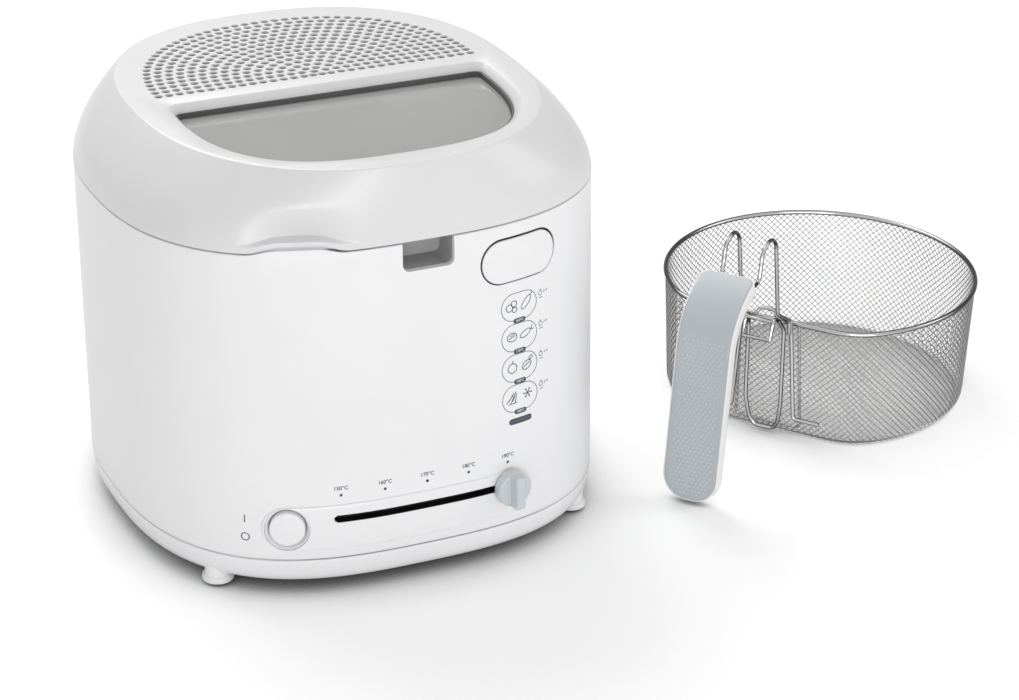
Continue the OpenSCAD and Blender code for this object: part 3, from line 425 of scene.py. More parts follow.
def makeFinish(name, light, dark, rough, size, relief, shader=(), stretch=(1, 1, 1), mask="Mottle", edge=None):
    # light and dark are the two ends of the mottling; edge is a painted shade, the darker tone the surface turns
    # to where it faces away from view
    material = bpy.data.materials.new(name)
    material.use_nodes = True
    tree = material.node_tree
    grain = addNode(tree, "Group", {"Size": size, "Relief": relief, "Stretch": stretch},
                    node_tree=grainGroup).outputs
    ramp = addNode(tree, "ValToRGB", {"Fac": grain[mask]})
    for element, position, colour in zip(ramp.color_ramp.elements, (0.3, 0.7), (dark, light)):
        element.position = position
        element.color = displayColour(colour)
    tone = ramp.outputs["Color"]
    # painted shade: the tone blends to the edge tone as the surface turns away from view
    if edge:
        facing = addNode(tree, "LayerWeight", {"Blend": 0.5}).outputs["Facing"]
        side = addNode(tree, "MapRange", {"Value": facing, "From Min": 0.06, "From Max": 0.5},
                       interpolation_type="SMOOTHSTEP").outputs["Result"]
        tone = addNode(tree, "Mix", {"Factor": side, "A": tone, "B": displayColour(edge)},
                       data_type="RGBA").outputs["Result"]
    spread = addNode(tree, "MapRange", {"Value": grain["Mottle"], "To Min": rough[0], "To Max": rough[1]})
    setInputs(tree, tree.nodes["Principled BSDF"], {
        "Base Color": tone, "Roughness": spread.outputs["Result"], "Normal": grain["Normal"], **dict(shader)})
    finishes[name] = material


metal = {"Metallic": 1.0}
finishTable = {
    # light and dark tones as display colours, roughness from and to, size and depth of the grain
    "whitePlastic": ((0.925, 0.925, 0.93), (0.915, 0.915, 0.92), (0.26, 0.34), 1100, 0.03),
    "lidPlastic": ((0.868, 0.868, 0.872), (0.858, 0.858, 0.862), (0.26, 0.34), 1100, 0.03),
    # a greyer copy of the white plastic, painted shade for the pocket behind the notch
    "paintedShadePlastic": ((0.70, 0.70, 0.705), (0.68, 0.68, 0.685), (0.36, 0.46), 1100, 0.03),
    # a lighter, glossier copy of the grey plastic for the knob; its lighter tone is a painted highlight
    "knobHighlightPlastic": ((0.79, 0.815, 0.83), (0.77, 0.795, 0.81), (0.16, 0.24), 1500, 0.03),
    # a lighter copy of the grey plastic for the grip's studs: a painted highlight
    "dotHighlightPlastic": ((0.765, 0.788, 0.802), (0.745, 0.768, 0.782), (0.24, 0.32), 1500, 0.03),
    "greyPlastic": ((0.72, 0.743, 0.757), (0.70, 0.723, 0.737), (0.28, 0.38), 1500, 0.05),
    "innerPlastic": ((0.40, 0.40, 0.41), (0.36, 0.36, 0.37), (0.45, 0.55), 1400, 0.08),
    "blackPlastic": ((0.06, 0.06, 0.06), (0.04, 0.04, 0.04), (0.5, 0.6), 1400, 0.06),
    "rubber": ((0.13, 0.13, 0.13), (0.09, 0.09, 0.09), (0.7, 0.85), 1800, 0.15),
    "gasketRubber": ((0.36, 0.36, 0.365), (0.33, 0.33, 0.335), (0.35, 0.45), 1500, 0.04),
    "silicone": ((0.50, 0.51, 0.52), (0.46, 0.47, 0.48), (0.45, 0.6), 900, 0.05),
    "steel": ((0.70, 0.70, 0.71), (0.58, 0.58, 0.59), (0.22, 0.34), 1500, 0.05, metal),
    "wireSteel": ((0.92, 0.92, 0.92), (0.86, 0.86, 0.86), (0.16, 0.24), 1500, 0.02, metal),
    "meshSteel": ((0.86, 0.86, 0.855), (0.76, 0.76, 0.755), (0.26, 0.38), 1500, 0.0, metal),
    # a lighter copy of the mesh steel for the floor weave: painted light, so the weave inside the basket does not
    # read dark
    "litFloorSteel": ((0.95, 0.95, 0.945), (0.88, 0.88, 0.875), (0.26, 0.38), 1500, 0.0, metal),
    "aluminium": ((0.78, 0.78, 0.79), (0.72, 0.72, 0.73), (0.3, 0.42), 500, 0.10, metal, (1, 14, 14), "Fine"),
    "coating": ((0.17, 0.17, 0.18), (0.12, 0.12, 0.13), (0.32, 0.46), 2200, 0.16, (), (1, 1, 1), "Fine"),
    "smokedGlass": ((0.73, 0.73, 0.725), (0.71, 0.71, 0.705), (0.08, 0.12), 300, 0.0,
                    {"Transmission Weight": 0.25}),
    "filterFelt": ((0.40, 0.40, 0.41), (0.24, 0.24, 0.25), (0.85, 0.95), 1300, 0.6, (), (1, 1, 1), "Fine"),
    "printInk": ((0.30, 0.32, 0.36), (0.27, 0.29, 0.33), (0.4, 0.5), 1500, 0.02),
    "paleInk": ((0.90, 0.90, 0.91), (0.87, 0.87, 0.88), (0.4, 0.5), 1500, 0.02),
}
# painted shade: wires are given darker tones along their sides, where they turn away from view
paintedSideShades = {"wireSteel": (0.26, 0.265, 0.27), "meshSteel": (0.42, 0.42, 0.42), "litFloorSteel": (0.7, 0.7, 0.7)}
for finishName, row in finishTable.items():
    makeFinish(finishName, *row, edge=paintedSideShades.get(finishName))

slotFinish = {
    "white_plastic": "whitePlastic", "grey_plastic": "greyPlastic", "inner_plastic": "innerPlastic",
    "black_plastic": "blackPlastic", "rubber": "rubber", "silicone": "silicone", "steel": "steel",
    "coating": "coating", "aluminium": "aluminium", "smoked_glass": "smokedGlass", "filter_felt": "filterFelt",
}
nodeSlot = {part["node"]: part["material_slot"] for part in frame["record"]["subparts"]}
for nodeName, nodeObject in frame["nodes"].items():
    nodeFinish = finishes[slotFinish[nodeSlot[nodeName]]]
    if not nodeObject.material_slots:
        nodeObject.data.materials.append(nodeFinish)
    for materialSlot in nodeObject.material_slots:
        materialSlot.link = "OBJECT"
        materialSlot.material = nodeFinish
print("finishes made")


frontSizes = {
    "near": -165, "far": -100, "high": 230, "holeReach": (-8, 8),
    "notchX": 4, "notchWidth": 30, "notchDepth": 16.5, "notchCorner": 4, "pocketBack": -122.5,
    "releaseAt": (61, 181), "release": (50, 25), "roomShift": (-0.75, 0, 0.75), "roomGap": 1,
    "switchAt": (-79, 43), "ringRadius": 12.7,
    "slotHeight": 48, "slot": (110, 4.4),
    # a pale grey sheet in the pocket behind the notch, painted shade where the pocket lies under the lid: its two
    # bars as (grow, further back), and the room it keeps to
    "lining": [(-0.03, -0.03), (-0.45, -0.5)], "notchShadeRoom": ((-30, -140.6, 180), (40, -100, 202.3)),
    "scoopAt": -68, "archHalf": 28, "archFlat": 10, "archRise": 3.0, "archRoot": 1.5, "archRim": (200, 208),
    # rings of the black collar round the release button's sides, and of the black sheet inside the slot, both
    # painted shade seen through their gaps, as (inset, lift)
    "seal": [(-2.3, -1.0), (-0.14, -1.0), (-0.14, -2.9), (-2.3, -2.9)],
    "slotShadeRings": [(-0.3, 1.42), (0.1, 1.42), (0.1, -3.3), (-0.3, -3.3)],
}
releasePlace = onFront(*frontSizes["releaseAt"])
switchPlace = onFront(*frontSizes["switchAt"])


def notchBar(grow, back):
    # a straight bar through the front, with its two lower edges rounded
    f = frontSizes
    half, low = f["notchWidth"] / 2 + grow, bodySizes["lidSeam"] - f["notchDepth"] - grow
    bm = makeBlock((f["notchX"] - half, f["near"], low), (f["notchX"] + half, back, f["high"]))
    lower = [e for e in bm.edges
             if all(v.co.z < low + 1 for v in e.verts) and abs(e.verts[0].co.x - e.verts[1].co.x) < 1]
    return bevelled(bm, lower, f["notchCorner"] + grow, 8)


def slotBar():
    f = frontSizes
    return capsuleBar(shifted(0, 0, f["slotHeight"]), *f["slot"], f["near"], f["far"])


def switchHole():
    return discBar(switchPlace, frontSizes["ringRadius"], *frontSizes["holeReach"], 96)


def scoopFrame():
    # the middle of the finger scoop on the front, the way along the front, and the way in
    x, z = frontSizes["scoopAt"], bodySizes["lidSeam"]
    slope = slopeOf(frontY, x, z)
    return (Vector((x, frontY(x, z))), Vector((math.cos(slope), math.sin(slope))),
            Vector((-math.sin(slope), math.cos(slope), 0)))


scoopPlace = scoopFrame()


def archRise(u):
    # flat in the middle, with soft ends
    half, flat = frontSizes["archHalf"], frontSizes["archFlat"]
    share = max(0, abs(u) - flat) / (half - flat)
    return frontSizes["archRise"] * math.cos(math.pi / 2 * share) ** 2 if share < 1 else 0


def makeArch(high):
    # under the scoop the front wall stands up in a low arch
    wall, f = bodySizes["wall"], frontSizes
    across = scoopPlace[1].x

    def archPoint(angle, y):
        u = f["archHalf"] * around(angle)[0]
        return f["scoopAt"] + u * across, y, high + archRise(u) if angle < 180 else high - f["archRoot"]
    low, top = f["archRim"]
    rim = carved(bodyTube([(low, 0.02), (top, 0.02)]), bodyTube([(low - 1, wall), (top + 1, wall)]))
    return carved(rim, ("INTERSECT", makeRings(archPoint, [(f["near"],), (f["far"],)])))


def makeRoom(low, high):
    # a room inside the wall, less the pocket behind the notch
    wall, back = bodySizes["wall"], frontSizes["pocketBack"]
    return carved(bodyTube([(low, wall), (high, wall)]), notchBar(2, back + 2))


def makeBody():
    b, f = bodySizes, frontSizes
    low, high = b["baseSeam"] + b["seamGap"] / 2, b["lidSeam"] - b["seamGap"] / 2
    levels = [(low, 1), (low, 0.5), (low + 0.2, 0.15), (low + 0.6, 0)]
    levels += [(mix(low + 0.6, high - 0.8, i / b["rows"]), 0) for i in range(1, b["rows"])]
    levels += [(high - 0.8, 0), (high - 0.35, 0.1), (high - 0.1, 0.35), (high, 0.8)]
    x, z = b["glandAt"]
    gland = moved(lathe(pin(*b["glandHole"]), 48),
                  shifted(x, backY(x, z), z) @ Matrix.Rotation(slopeOf(backY, x, z), 4, "Z") @ turned(90, "X"))
    screws = joined([moved(lathe(pin(*b["screwHole"]), 24), outward(shifted(*place))) for place in b["screwsAt"]])
    wide, tall = f["release"]
    return carved(
        bodyTube(levels), *[makeRoom(*room) for room in b["rooms"]],
        lathesAt([b["holeAt"]], pin(*b["deckHole"]), 180), ("UNION", makeArch(high)),
        notchBar(0, f["pocketBack"]),
        capsuleBar(releasePlace @ shifted(*f["roomShift"]), wide + 2 * f["roomGap"], tall + 2 * f["roomGap"],
                   *f["holeReach"], 144),
        switchHole(), slotBar(), makeBlock(*b["hookRoom"]), gland, screws)


addPiece(makeBody(), "bodyShell", "fryer", "white_plastic", "body_shell")
# painted shade: a grey sheet lines the pocket behind the notch, standing in for the shade under the lid
notchShadeParts = [notchBar(grow, frontSizes["pocketBack"] + back) for grow, back in frontSizes["lining"]]
notchShadeSheet = carved(*notchShadeParts, ("INTERSECT", makeBlock(*frontSizes["notchShadeRoom"])))
addPiece(notchShadeSheet, "notchShadeSheet", "fryer", "white_plastic", finish="paintedShadePlastic")
# painted shade: a black collar round the release button's sides makes the gap read as shade
releaseSeal = capsuleSheet(releasePlace, *frontSizes["release"], frontSizes["seal"], 192, "join")
addPiece(releaseSeal, "releaseSeal", "fryer", "black_plastic")
print("body made")

# the low raised field that carries the switch and the slot; its levels are (inset, lift)
padSizes = {
    "middle": (-13, -150, 43), "size": (158, 26), "under": -0.8, "lift": 1.6,
    "rise": [(0, 0.9), (0.2, 1.3), (0.7, 1.52), (1.3, 1.6)],
    "insets": [1.6, 3, 5, 7, 9, 11, 12.6, 13],
}


def makePad():
    p = padSizes
    levels = [(inset, p["under"]) for inset in p["insets"][::-1] + [0]] + p["rise"]
    levels += [(inset, p["lift"]) for inset in p["insets"]]
    sheet = capsuleSheet(shifted(*p["middle"]), *p["size"], levels, 474, "open")
    return carved(closedUp(sheet, 0.01), switchHole(), slotBar())


addPiece(makePad(), "controlField", "fryer", "white_plastic")
# painted shade: a black sheet lines the slot so it reads as shade
slotShadeSheet = capsuleSheet(shifted(0, -150, frontSizes["slotHeight"]), *frontSizes["slot"],
                          frontSizes["slotShadeRings"], 192, "join")
addPiece(slotShadeSheet, "slotShadeSheet", "fryer", "black_plastic")

traySizes = {
    # how far the outline stands inside the base outline, and its height
    "outside": [(9.5, 8), (8, 8.02), (6.4, 8.25), (4.9, 8.8), (3.6, 9.6), (2.5, 11), (1.5, 13), (0.9, 15.5),
                (0.45, 18), (0.15, 20.5), (0, 22.4), (0.12, 22.85), (0.5, 23.1)],
    "inside": [(10.5, 10.5), (6, 12), (3.5, 16.5), (2.5, 24.1)],
    "boss": [(0, 8.5), (5, 8.5), (5, 38), (4.6, 38.5), (0, 38.5)],
    "bossesAt": [(-60, 95), (60, 95), (-95, -50), (95, -50)],
    "screwHole": (1.6, 0, 60), "ventPitch": 12, "ventHalf": 2, "vents": (-10, 50), "ventCut": (2, 14),
    "feetAt": [(-109, -105.5), (109, -105.5), (-93.74, 112), (93.74, 112)], "footHole": (7.45, -1, 15),
    "foot": [(0, 3), (5.6, 3), (5.9, 2.7), (5.95, 2.15), (6.2, 2), (8.2, 2), (8.7, 2.15), (9, 2.6), (9, 4.3),
             (8.85, 4.9), (8.4, 5.35), (7.8, 5.55), (7.45, 5.9), (7.4, 6.4), (7.4, 14.8), (7.2, 15), (0, 15)],
    "footPad": [(0, 0), (5.2, 0), (5.6, 0.15), (5.75, 0.5), (5.75, 3.0), (5.5, 3.2), (0, 3.2)],
}


def makeTray():
    t = traySizes
    outside, inside = [makeRings(outlinePoint, [(bodySizes["base"], z, inset) for inset, z in t[side]],
                                 bodySizes["points"]) for side in ("outside", "inside")]
    half, (front, back), (low, high) = t["ventHalf"], t["vents"], t["ventCut"]
    middles = [t["ventPitch"] * i for i in range(-3, 4)]
    vents = joined([makeBlock((x - half, front, low), (x + half, back, high), 0.8) for x in middles])
    return carved(outside, inside, ("UNION", lathesAt(t["bossesAt"], t["boss"], 32)),
                  lathesAt(t["feetAt"], pin(*t["footHole"]), 48), vents,
                  lathesAt(t["bossesAt"], pin(*t["screwHole"]), 24))


addPiece(makeTray(), "baseTray", "fryer", "white_plastic", "base_tray")
addPiece(lathesAt(traySizes["feetAt"], traySizes["foot"], 64), "feet", "fryer", "white_plastic", "feet")
addPiece(lathesAt(traySizes["feetAt"], traySizes["footPad"], 48), "footPads", "fryer", "rubber", "foot_pads")
print("base made")

switchSizes = {
    "ring": [(10.4, -13), (10.4, -2.9), (10.5, -2.6), (11.8, 0.2), (11.95, 0.45), (12.15, 0.58), (12.35, 0.55),
             (12.55, 0.35), (12.6, 0), (12.6, -13)],
    "button": [(0, -6), (9.8, -6), (10, -5.8), (10, 0.4), (9.93, 0.75), (9.75, 1.1), (9.45, 1.38), (9.0, 1.55),
               (8.3, 1.62)],
    # the face of the button is a low dome
    "domeRadius": 8.3, "domeLow": 1.62, "domeRise": 0.36, "domeSteps": (7, 5.5, 4, 2.5, 1.2, 0),
}
domeRadius = switchSizes["domeRadius"]
buttonProfile = switchSizes["button"] + [
    (r, switchSizes["domeLow"] + switchSizes["domeRise"] * (1 - (r / domeRadius) ** 2))
    for r in switchSizes["domeSteps"]]
addPiece(moved(lathe(switchSizes["ring"], 96, closed=True), outward(switchPlace)), "switchRing", "fryer",
         "white_plastic", "switch_bezel")
addPiece(moved(lathe(buttonProfile, 96), outward(switchPlace)), "switchButton", "power_button",
         "white_plastic", "switch_button")

releaseSizes = {
    "edge": [(1.2, -6.2), (0.3, -6.2), (0, -5.9), (0, -1.35), (0.1, -1.0), (0.35, -0.74), (0.8, -0.62),
             (1.4, -0.6)],
    "faceInsets": (2.6, 4.5, 6.5, 8.5, 10.5, 12, 12.46), "faceLift": -0.6,
    "stemRadius": 4, "stem": (5.5, 18.9),
}
releaseLevels = [(inset, releaseSizes["faceLift"]) for inset in releaseSizes["faceInsets"]]
releaseLevels = releaseSizes["edge"] + releaseLevels
releaseFace = capsuleSheet(releasePlace, *frontSizes["release"], releaseLevels, 192)
releaseStem = discBar(releasePlace, releaseSizes["stemRadius"], *releaseSizes["stem"], 48)
addPiece(joined([releaseFace, releaseStem]), "releaseButton", "lid_release", "white_plastic", "release_button")

knobSizes = {
    "disc": [(0, 0), (10.1, 0), (10.5, 0.35), (10.5, 4.6), (10.38, 5.15), (10.05, 5.6), (9.5, 5.88), (8.8, 6),
             (0, 6)],
    "reach": 10, "half": 3.3,
    # levels of the ridge: height, inset, and how far it is pinched in its middle
    "ridge": [(5, 0, 0), (6.2, 0, 0.05), (8, 0, 0.35), (10, 0, 0.55), (11.1, 0.02, 0.6), (11.6, 0.2, 0.6),
              (11.88, 0.5, 0.6), (12, 1.0, 0.6)],
    "hole": ((-3.1, -1.9, -1), (3.1, 1.1, 6.2)),
    "turn": 6.88758, "arcMiddle": 267.099, "arcRadius": 416.939, "gap": 2.8,
}


def makeKnob():
    k = knobSizes

    def ridgePoint(angle, height, inset, pinch):
        c, s = around(angle)
        reach = k["reach"] - inset
        side = k["half"] - inset - pinch * (1 - (reach * s / k["reach"]) ** 2)
        return max(-side, min(side, reach * c)), reach * s, height
    ridge = makeRings(ridgePoint, k["ridge"], 128)
    knob = carved(lathe(k["disc"], 96), ("UNION", ridge), makeBlock(*k["hole"]))
    return moved(knob, outward(shifted(0, k["arcMiddle"], frontSizes["slotHeight"]) @ turned(k["turn"], "Z")
                               @ shifted(0, -k["arcRadius"] - k["gap"])))


# the knob gets a lighter, glossier copy of the grey plastic; its lighter tone is a painted highlight
addPiece(makeKnob(), "thermostatKnob", "thermostat", "grey_plastic", "thermostat_knob", finish="knobHighlightPlastic",
         smooth=28)
print("controls made")

lidSizes = {
    "low": 203.4, "top": 246, "skirtPower": 1.75, "skirtRun": 65, "edge": 0.9, "wall": 3,
    "windowHalf": 97, "windowFront": 120.5, "windowBack": 3, "windowCorner": 9, "windowSquare": 2.8,
    "ventBack": 11.5, "ventPitch": 6.2, "ventRows": 15, "ventHalf": 95, "ventReach": 98.5, "ventSquare": 2.25,
    "ventExtra": [(-2.75, 11.6), (2.75, 11.6), (0, 17)],
    "vent": [(0, 240), (2.4, 240), (2.4, 245.65), (2.48, 245.85), (2.7, 246.02), (2.7, 246.3), (0, 246.3)],
    "scoopDepth": 7.5, "scoopHalf": 36, "scoopHeight": 27, "archShare": 1.32, "archFade": 16,
    # the lip under the scoop: its depth as a share, its top, and where the hollow is deepest
    "lipShare": 0.12, "lipTop": 3.4, "scoopLow": 5.2,
    # rows of the skirt and of the room inside it, as heights over the lower edge
    "rows": (0, 0.06, 0.34, 0.85, 1.5, 2.1, 2.6, 3.0, 3.4, 3.8, 4.2, 4.6, 5.2, 6, 7, 8.2, 9.6, 11, 12.6, 14.2,
             16, 18, 20, 22, 24, 26, 27.8, 29.6, 31.4, 33.2, 35, 36.6, 38),
    "edgeInsets": {0: 0.8, 0.06: 0.3, 0.34: 0.06},
    "roomRows": (-1, 0.6, 2, 3.2, 4, 5, 6.4, 8, 10, 12, 14.4, 17, 20, 23, 26, 28, 31, 34, 37, 39.6),
    "ventRoom": ((-140, 6.5, 240), (140, 140, 246)), "ventRoomInset": 11, "ventRoomHeights": (242, 244.5),
    # bosses for the screws of the liner: place, and the height that each ends at
    "bossFoot": [(0, 209.7), (3.8, 209.7), (4, 209.9)], "bossRadius": 4, "screwHole": (1.6, 208.4, 224.4),
    "bosses": [(-80.6, -40, 236), (80.6, -40, 236), (-72.6, 4.2, 244), (72.6, 4.2, 244)],
    # rings of the window, as (inset, height)
    "well": [(1.6, 234), (1.6, 245)], "shaft": [(4, 235.55), (4, 241.5)], "opening": [(8, 233), (8, 240)],
    "bevel": [(4.05, 241.3), (3.98, 241.8), (3.7, 242.6), (2.9, 243.7), (0.5, 245.6), (0.1, 245.86),
              (-0.3, 246.0), (-0.4, 246.4)],
    "pane": [(5.6, 235.65), (5.35, 235.85), (5.35, 238.3), (5.55, 238.52), (5.9, 238.55)],
    "gasket": [(4.12, 235.65), (4.12, 241.25), (4.3, 241.45), (4.9, 241.45), (5.15, 241.25), (5.15, 235.65)],
}


def skirtLevel(k, inset=0):
    l = lidSizes
    size = mixSize(bodySizes["seam"], bodySizes["top"], max(k, 0) ** l["skirtPower"])
    return size, mix(l["low"], l["top"], k), inset


def lidEdge(start, reach, steps=7):
    # rounds the skirt into the flat top
    return [skirtLevel((1 - t) ** 2 * start + 2 * t * (1 - t) + t * t, t * t * reach)
            for t in [i / steps for i in range(1, steps + 1)]]


def windowPoint(angle, d, z):
    l = lidSizes
    w = l["windowHalf"] - d
    r = max(l["windowCorner"] - d, 1)
    mid = -l["windowBack"] - d - r
    reach = l["windowFront"] + mid - d
    c, s = around(angle)
    if angle <= 180:
        return (w - r if angle <= 90 else r - w) + r * c, mid + r * s, z
    return w * power(c, l["windowSquare"]), mid - reach * power(-s, l["windowSquare"]), z


def windowTube(levels, ends="fill"):
    # levels are (inset, height) pairs
    return makeRings(windowPoint, levels, 240, ends)


def runsOf(points):
    # how far along a path each of its points lies
    runs = [0.0]
    for a, b in zip(points, points[1:]):
        runs.append(runs[-1] + (b - a).length)
    return runs


def ventPlaces():
    # each row follows the outline behind the window, and its holes are spread evenly along it
    l = lidSizes
    places = []
    for row in range(l["ventRows"]):
        w, d = l["ventHalf"] - row * l["ventPitch"], l["ventReach"] - row * l["ventPitch"]
        points = []
        for i in range(241):
            t = math.radians(180 * i / 240)
            points.append(Vector((-w * power(math.cos(t), l["ventSquare"]),
                                  l["ventBack"] + d * abs(math.sin(t)) ** (2 / l["ventSquare"]))))
        runs = runsOf(points)
        count = max(1, round(runs[-1] / (l["ventPitch"] + 0.2)))
        for step in range(count + 1):
            want = min(runs[-1] - 0.001, runs[-1] * step / count)
            i = max(j for j in range(240) if runs[j] <= want)
            places.append(points[i].lerp(points[i + 1], (want - runs[i]) / max(runs[i + 1] - runs[i], 1e-9)))
    return places + [Vector(place) for place in l["ventExtra"]]


def skirtPoint(angle, size, z, inset):
    # the finger scoop is a soft hollow in the skirt; under it the lower edge rises in a low arch
    l = lidSizes
    middle, along, inward = scoopPlace
    point = Vector(outlinePoint(angle, size, z, inset))
    u, h = (point.xy - middle).dot(along), point.z - l["low"]
    if point.y > 0 or abs(u) > l["scoopHalf"] or h > l["scoopHeight"]:
        return point
    if h < l["lipTop"]:
        share = l["lipShare"]
    elif h < l["scoopLow"]:
        k = (h - l["lipTop"]) / (l["scoopLow"] - l["lipTop"])
        share = mix(l["lipShare"], 1, 0.5 - 0.5 * math.cos(math.pi * k))
    else:
        share = math.cos(math.pi / 2 * (h - l["scoopLow"]) / (l["scoopHeight"] - l["scoopLow"])) ** 2
    point.z += l["archShare"] * archRise(u) * max(0, 1 - max(h, 0) / l["archFade"])
    return point + inward * l["scoopDepth"] * share * math.cos(math.pi / 2 * u / l["scoopHalf"]) ** 2


def makeLid():
    l = lidSizes
    span = l["top"] - l["low"]
    share = 1 - l["edge"] / l["skirtRun"]
    levels = [skirtLevel(h / span, l["edgeInsets"].get(h, 0)) for h in l["rows"]]
    levels += [skirtLevel(mix(l["rows"][-1] / span, share, i / 4)) for i in range(1, 5)]
    levels += lidEdge(share, l["edge"])
    room = makeRings(skirtPoint, [skirtLevel(h / span, l["wall"]) for h in l["roomRows"]], bodySizes["points"])
    ventLevels = [(bodySizes["top"], z, l["ventRoomInset"]) for z in l["ventRoomHeights"]]
    ventRoom = carved(makeRings(outlinePoint, ventLevels, 144), ("INTERSECT", makeBlock(*l["ventRoom"])))
    bosses = joined([moved(lathe(l["bossFoot"] + [(l["bossRadius"], high), (0, high)], 32), shifted(x, y))
                     for x, y, high in l["bosses"]])
    return carved(
        makeRings(skirtPoint, levels, bodySizes["points"]), room, ventRoom, ("UNION", windowTube(l["well"])),
        ("UNION", bosses), windowTube(l["bevel"]), windowTube(l["shaft"]), windowTube(l["opening"]),
        lathesAt(ventPlaces(), l["vent"], 20), lathesAt([b[:2] for b in l["bosses"]], pin(*l["screwHole"]), 24))


addPiece(makeLid(), "lidShell", "lid", "white_plastic", "lid_shell", finish="lidPlastic")
addPiece(windowTube(lidSizes["pane"]), "windowPane", "lid", "smoked_glass", "window_pane")
addPiece(windowTube(lidSizes["gasket"], "join"), "windowGasket", "lid", "rubber", "window_gasket",
         finish="gasketRubber")
print("lid made")

# small fittings are copies of the built parts, with their edges broken by this much
fittings = {
    "hinge_bracket": ("fryer", 0.5), "hinge_arm": ("lid", 0.5), "hinge_pin": ("fryer", 0.25),
    "cord_gland": ("fryer", 0.4), "lid_catch": ("lid", 0.25), "latch_hook": ("latch", 0.3), "bowl": ("fryer", 0),
    "lid_liner": ("lid", 0), "lid_seal": ("lid", 0), "filter_tray": ("lid", 0), "switch_body": ("fryer", 0),
    "release_frame": ("fryer", 0), "heating_element": ("fryer", 0), "lid_screws": ("lid", 0.2),
    "base_screws": ("fryer", 0.2),
}
for node, (body, edge) in fittings.items():
    first, *others = node.split("_")
    name = first + "".join(word.capitalize() for word in others)
    addPiece(softCopy(node, edge), name, body, nodeSlot[node], node, place=Matrix.Identity(4))
print("fittings made")


# the basket is drawn round its own middle, with its flat panel on the -Y side
basketSizes = {
    "rim": 97, "floor": 93.5, "height": 79, "flat": 80, "corner": 40, "rimWire": 2.995, "rimHeight": 77.5,
    # the weave is drawn flat, then folded round the outline and under the lower edge
    "meshWire": 0.52, "weave": 0.26, "wires": 140, "pitch": 4.2, "fold": 5.0, "low": 1.05,
    "foldRows": 4, "rows": 37,
    "floorWire": 0.42, "floorPitch": 2.97, "floorInset": 4.2, "floorLines": 42,
}


def basketPoint(radius, flat, share):
    # walks round the outline, from the middle of the flat panel
    corner = basketSizes["corner"]
    b = math.acos((flat - corner) / (radius - corner))
    chord = (radius - corner) * math.sin(b)
    arc = corner * b
    total = chord + arc + radius * (math.pi - b)
    share = share % 1
    side = 1 if share < 0.5 else -1
    run = (share if share < 0.5 else 1 - share) * 2 * total
    if run < chord:
        return side * run, -flat
    if run < chord + arc:
        a = (run - chord) / corner
        return side * (chord + corner * math.sin(a)), -(flat - corner) - corner * math.cos(a)
    a = b + (run - chord - arc) / radius
    return side * radius * math.sin(a), -radius * math.cos(a)


def basketRing(z, share, inset=0.0):
    s = basketSizes
    lean = (s["rim"] - s["floor"]) * (1 - z / s["height"]) + inset
    return Vector((*basketPoint(s["rim"] - lean, s["flat"] - lean, share), z))


def wallPoint(flat):
    # x is the way round, y the way up from the folded edge, z the lift out of the weave
    s = basketSizes
    r, share = s["fold"], flat.x / (s["wires"] * s["pitch"])
    bend = r * math.pi / 2
    if flat.y < bend:
        a = flat.y / r
        return basketRing(s["low"] + r - (r + flat.z) * math.cos(a), share, r - (r + flat.z) * math.sin(a))
    return basketRing(s["low"] + r + flat.y - bend, share, -flat.z)


def repeated(bm, count, step):
    first = bm.verts[:] + bm.edges[:] + bm.faces[:]
    for i in range(1, count):
        again = bmesh.ops.duplicate(bm, geom=first)["geom"]
        bmesh.ops.translate(bm, vec=step * i, verts=[g for g in again if isinstance(g, bmesh.types.BMVert)])


def wovenBand(firstRow, lastRow):
    # one wire each way, repeated in groups of 14 round the basket
    s = basketSizes
    bands = []
    for way in (1, -1):
        half = s["pitch"] / 2
        path = [Vector((way * half * row, half * row, way * s["weave"] * (1 if row % 2 else -1)))
                for row in range(firstRow, lastRow + 1)]
        band = makeWire(path, s["meshWire"], 5, roundEnds=False)
        repeated(band, 14, Vector((s["pitch"], 0, 0)))
        repeated(band, s["wires"] // 14, Vector((14 * s["pitch"], 0, 0)))
        bands.append(band)
    whole = joined(bands)
    for vert in whole.verts:
        vert.co = wallPoint(vert.co)
    return whole


def wovenFloor():
    # straight wires both ways, cut off at the outline
    s = basketSizes
    pitch = s["floorPitch"]
    radius, flat = s["floor"] - s["floorInset"], s["flat"] - (s["rim"] - s["floor"]) - s["floorInset"]
    outline = [Vector(basketPoint(radius, flat, i / 240)) for i in range(240)]
    wires = []
    for way in (1, -1):
        along = Vector((1, way)).normalized()
        across = Vector((-along.y, along.x))
        for index in range(-s["floorLines"], s["floorLines"] + 1):
            offset = index * pitch
            hits = []
            for a, b in zip(outline, outline[1:] + outline[:1]):
                da, db = a.dot(across) - offset, b.dot(across) - offset
                if da * db < 0:
                    hits.append(a.lerp(b, da / (da - db)).dot(along))
            if len(hits) != 2:
                continue
            low, high = math.ceil(min(hits) / pitch), math.floor(max(hits) / pitch)
            steps = [min(hits)] + [k * pitch for k in range(low, high + 1)] + [max(hits)]
            path = []
            for k, run in zip(range(low - 1, high + 2), steps):
                point = along * run + across * offset
                path.append((point.x, point.y, s["low"] + way * s["weave"] * (1 if (k + index) % 2 else -1)))
            if len(path) > 3:
                wires.append(makeWire(path, s["floorWire"], 5, roundEnds=False))
    return joined(wires)


def addWires(bm, name, node, finish="wireSteel", body="basket", smooth=32):
    addPiece(bm, name, body, "steel", node, finish=finish, place=basketPlace, smooth=smooth)


foldRows = basketSizes["foldRows"]
addWires(wovenBand(foldRows, basketSizes["rows"]), "wovenWall", "basket_wall", "meshSteel", smooth=80)
addWires(wovenBand(0, foldRows), "wovenFold", "basket_hem", "meshSteel", smooth=80)
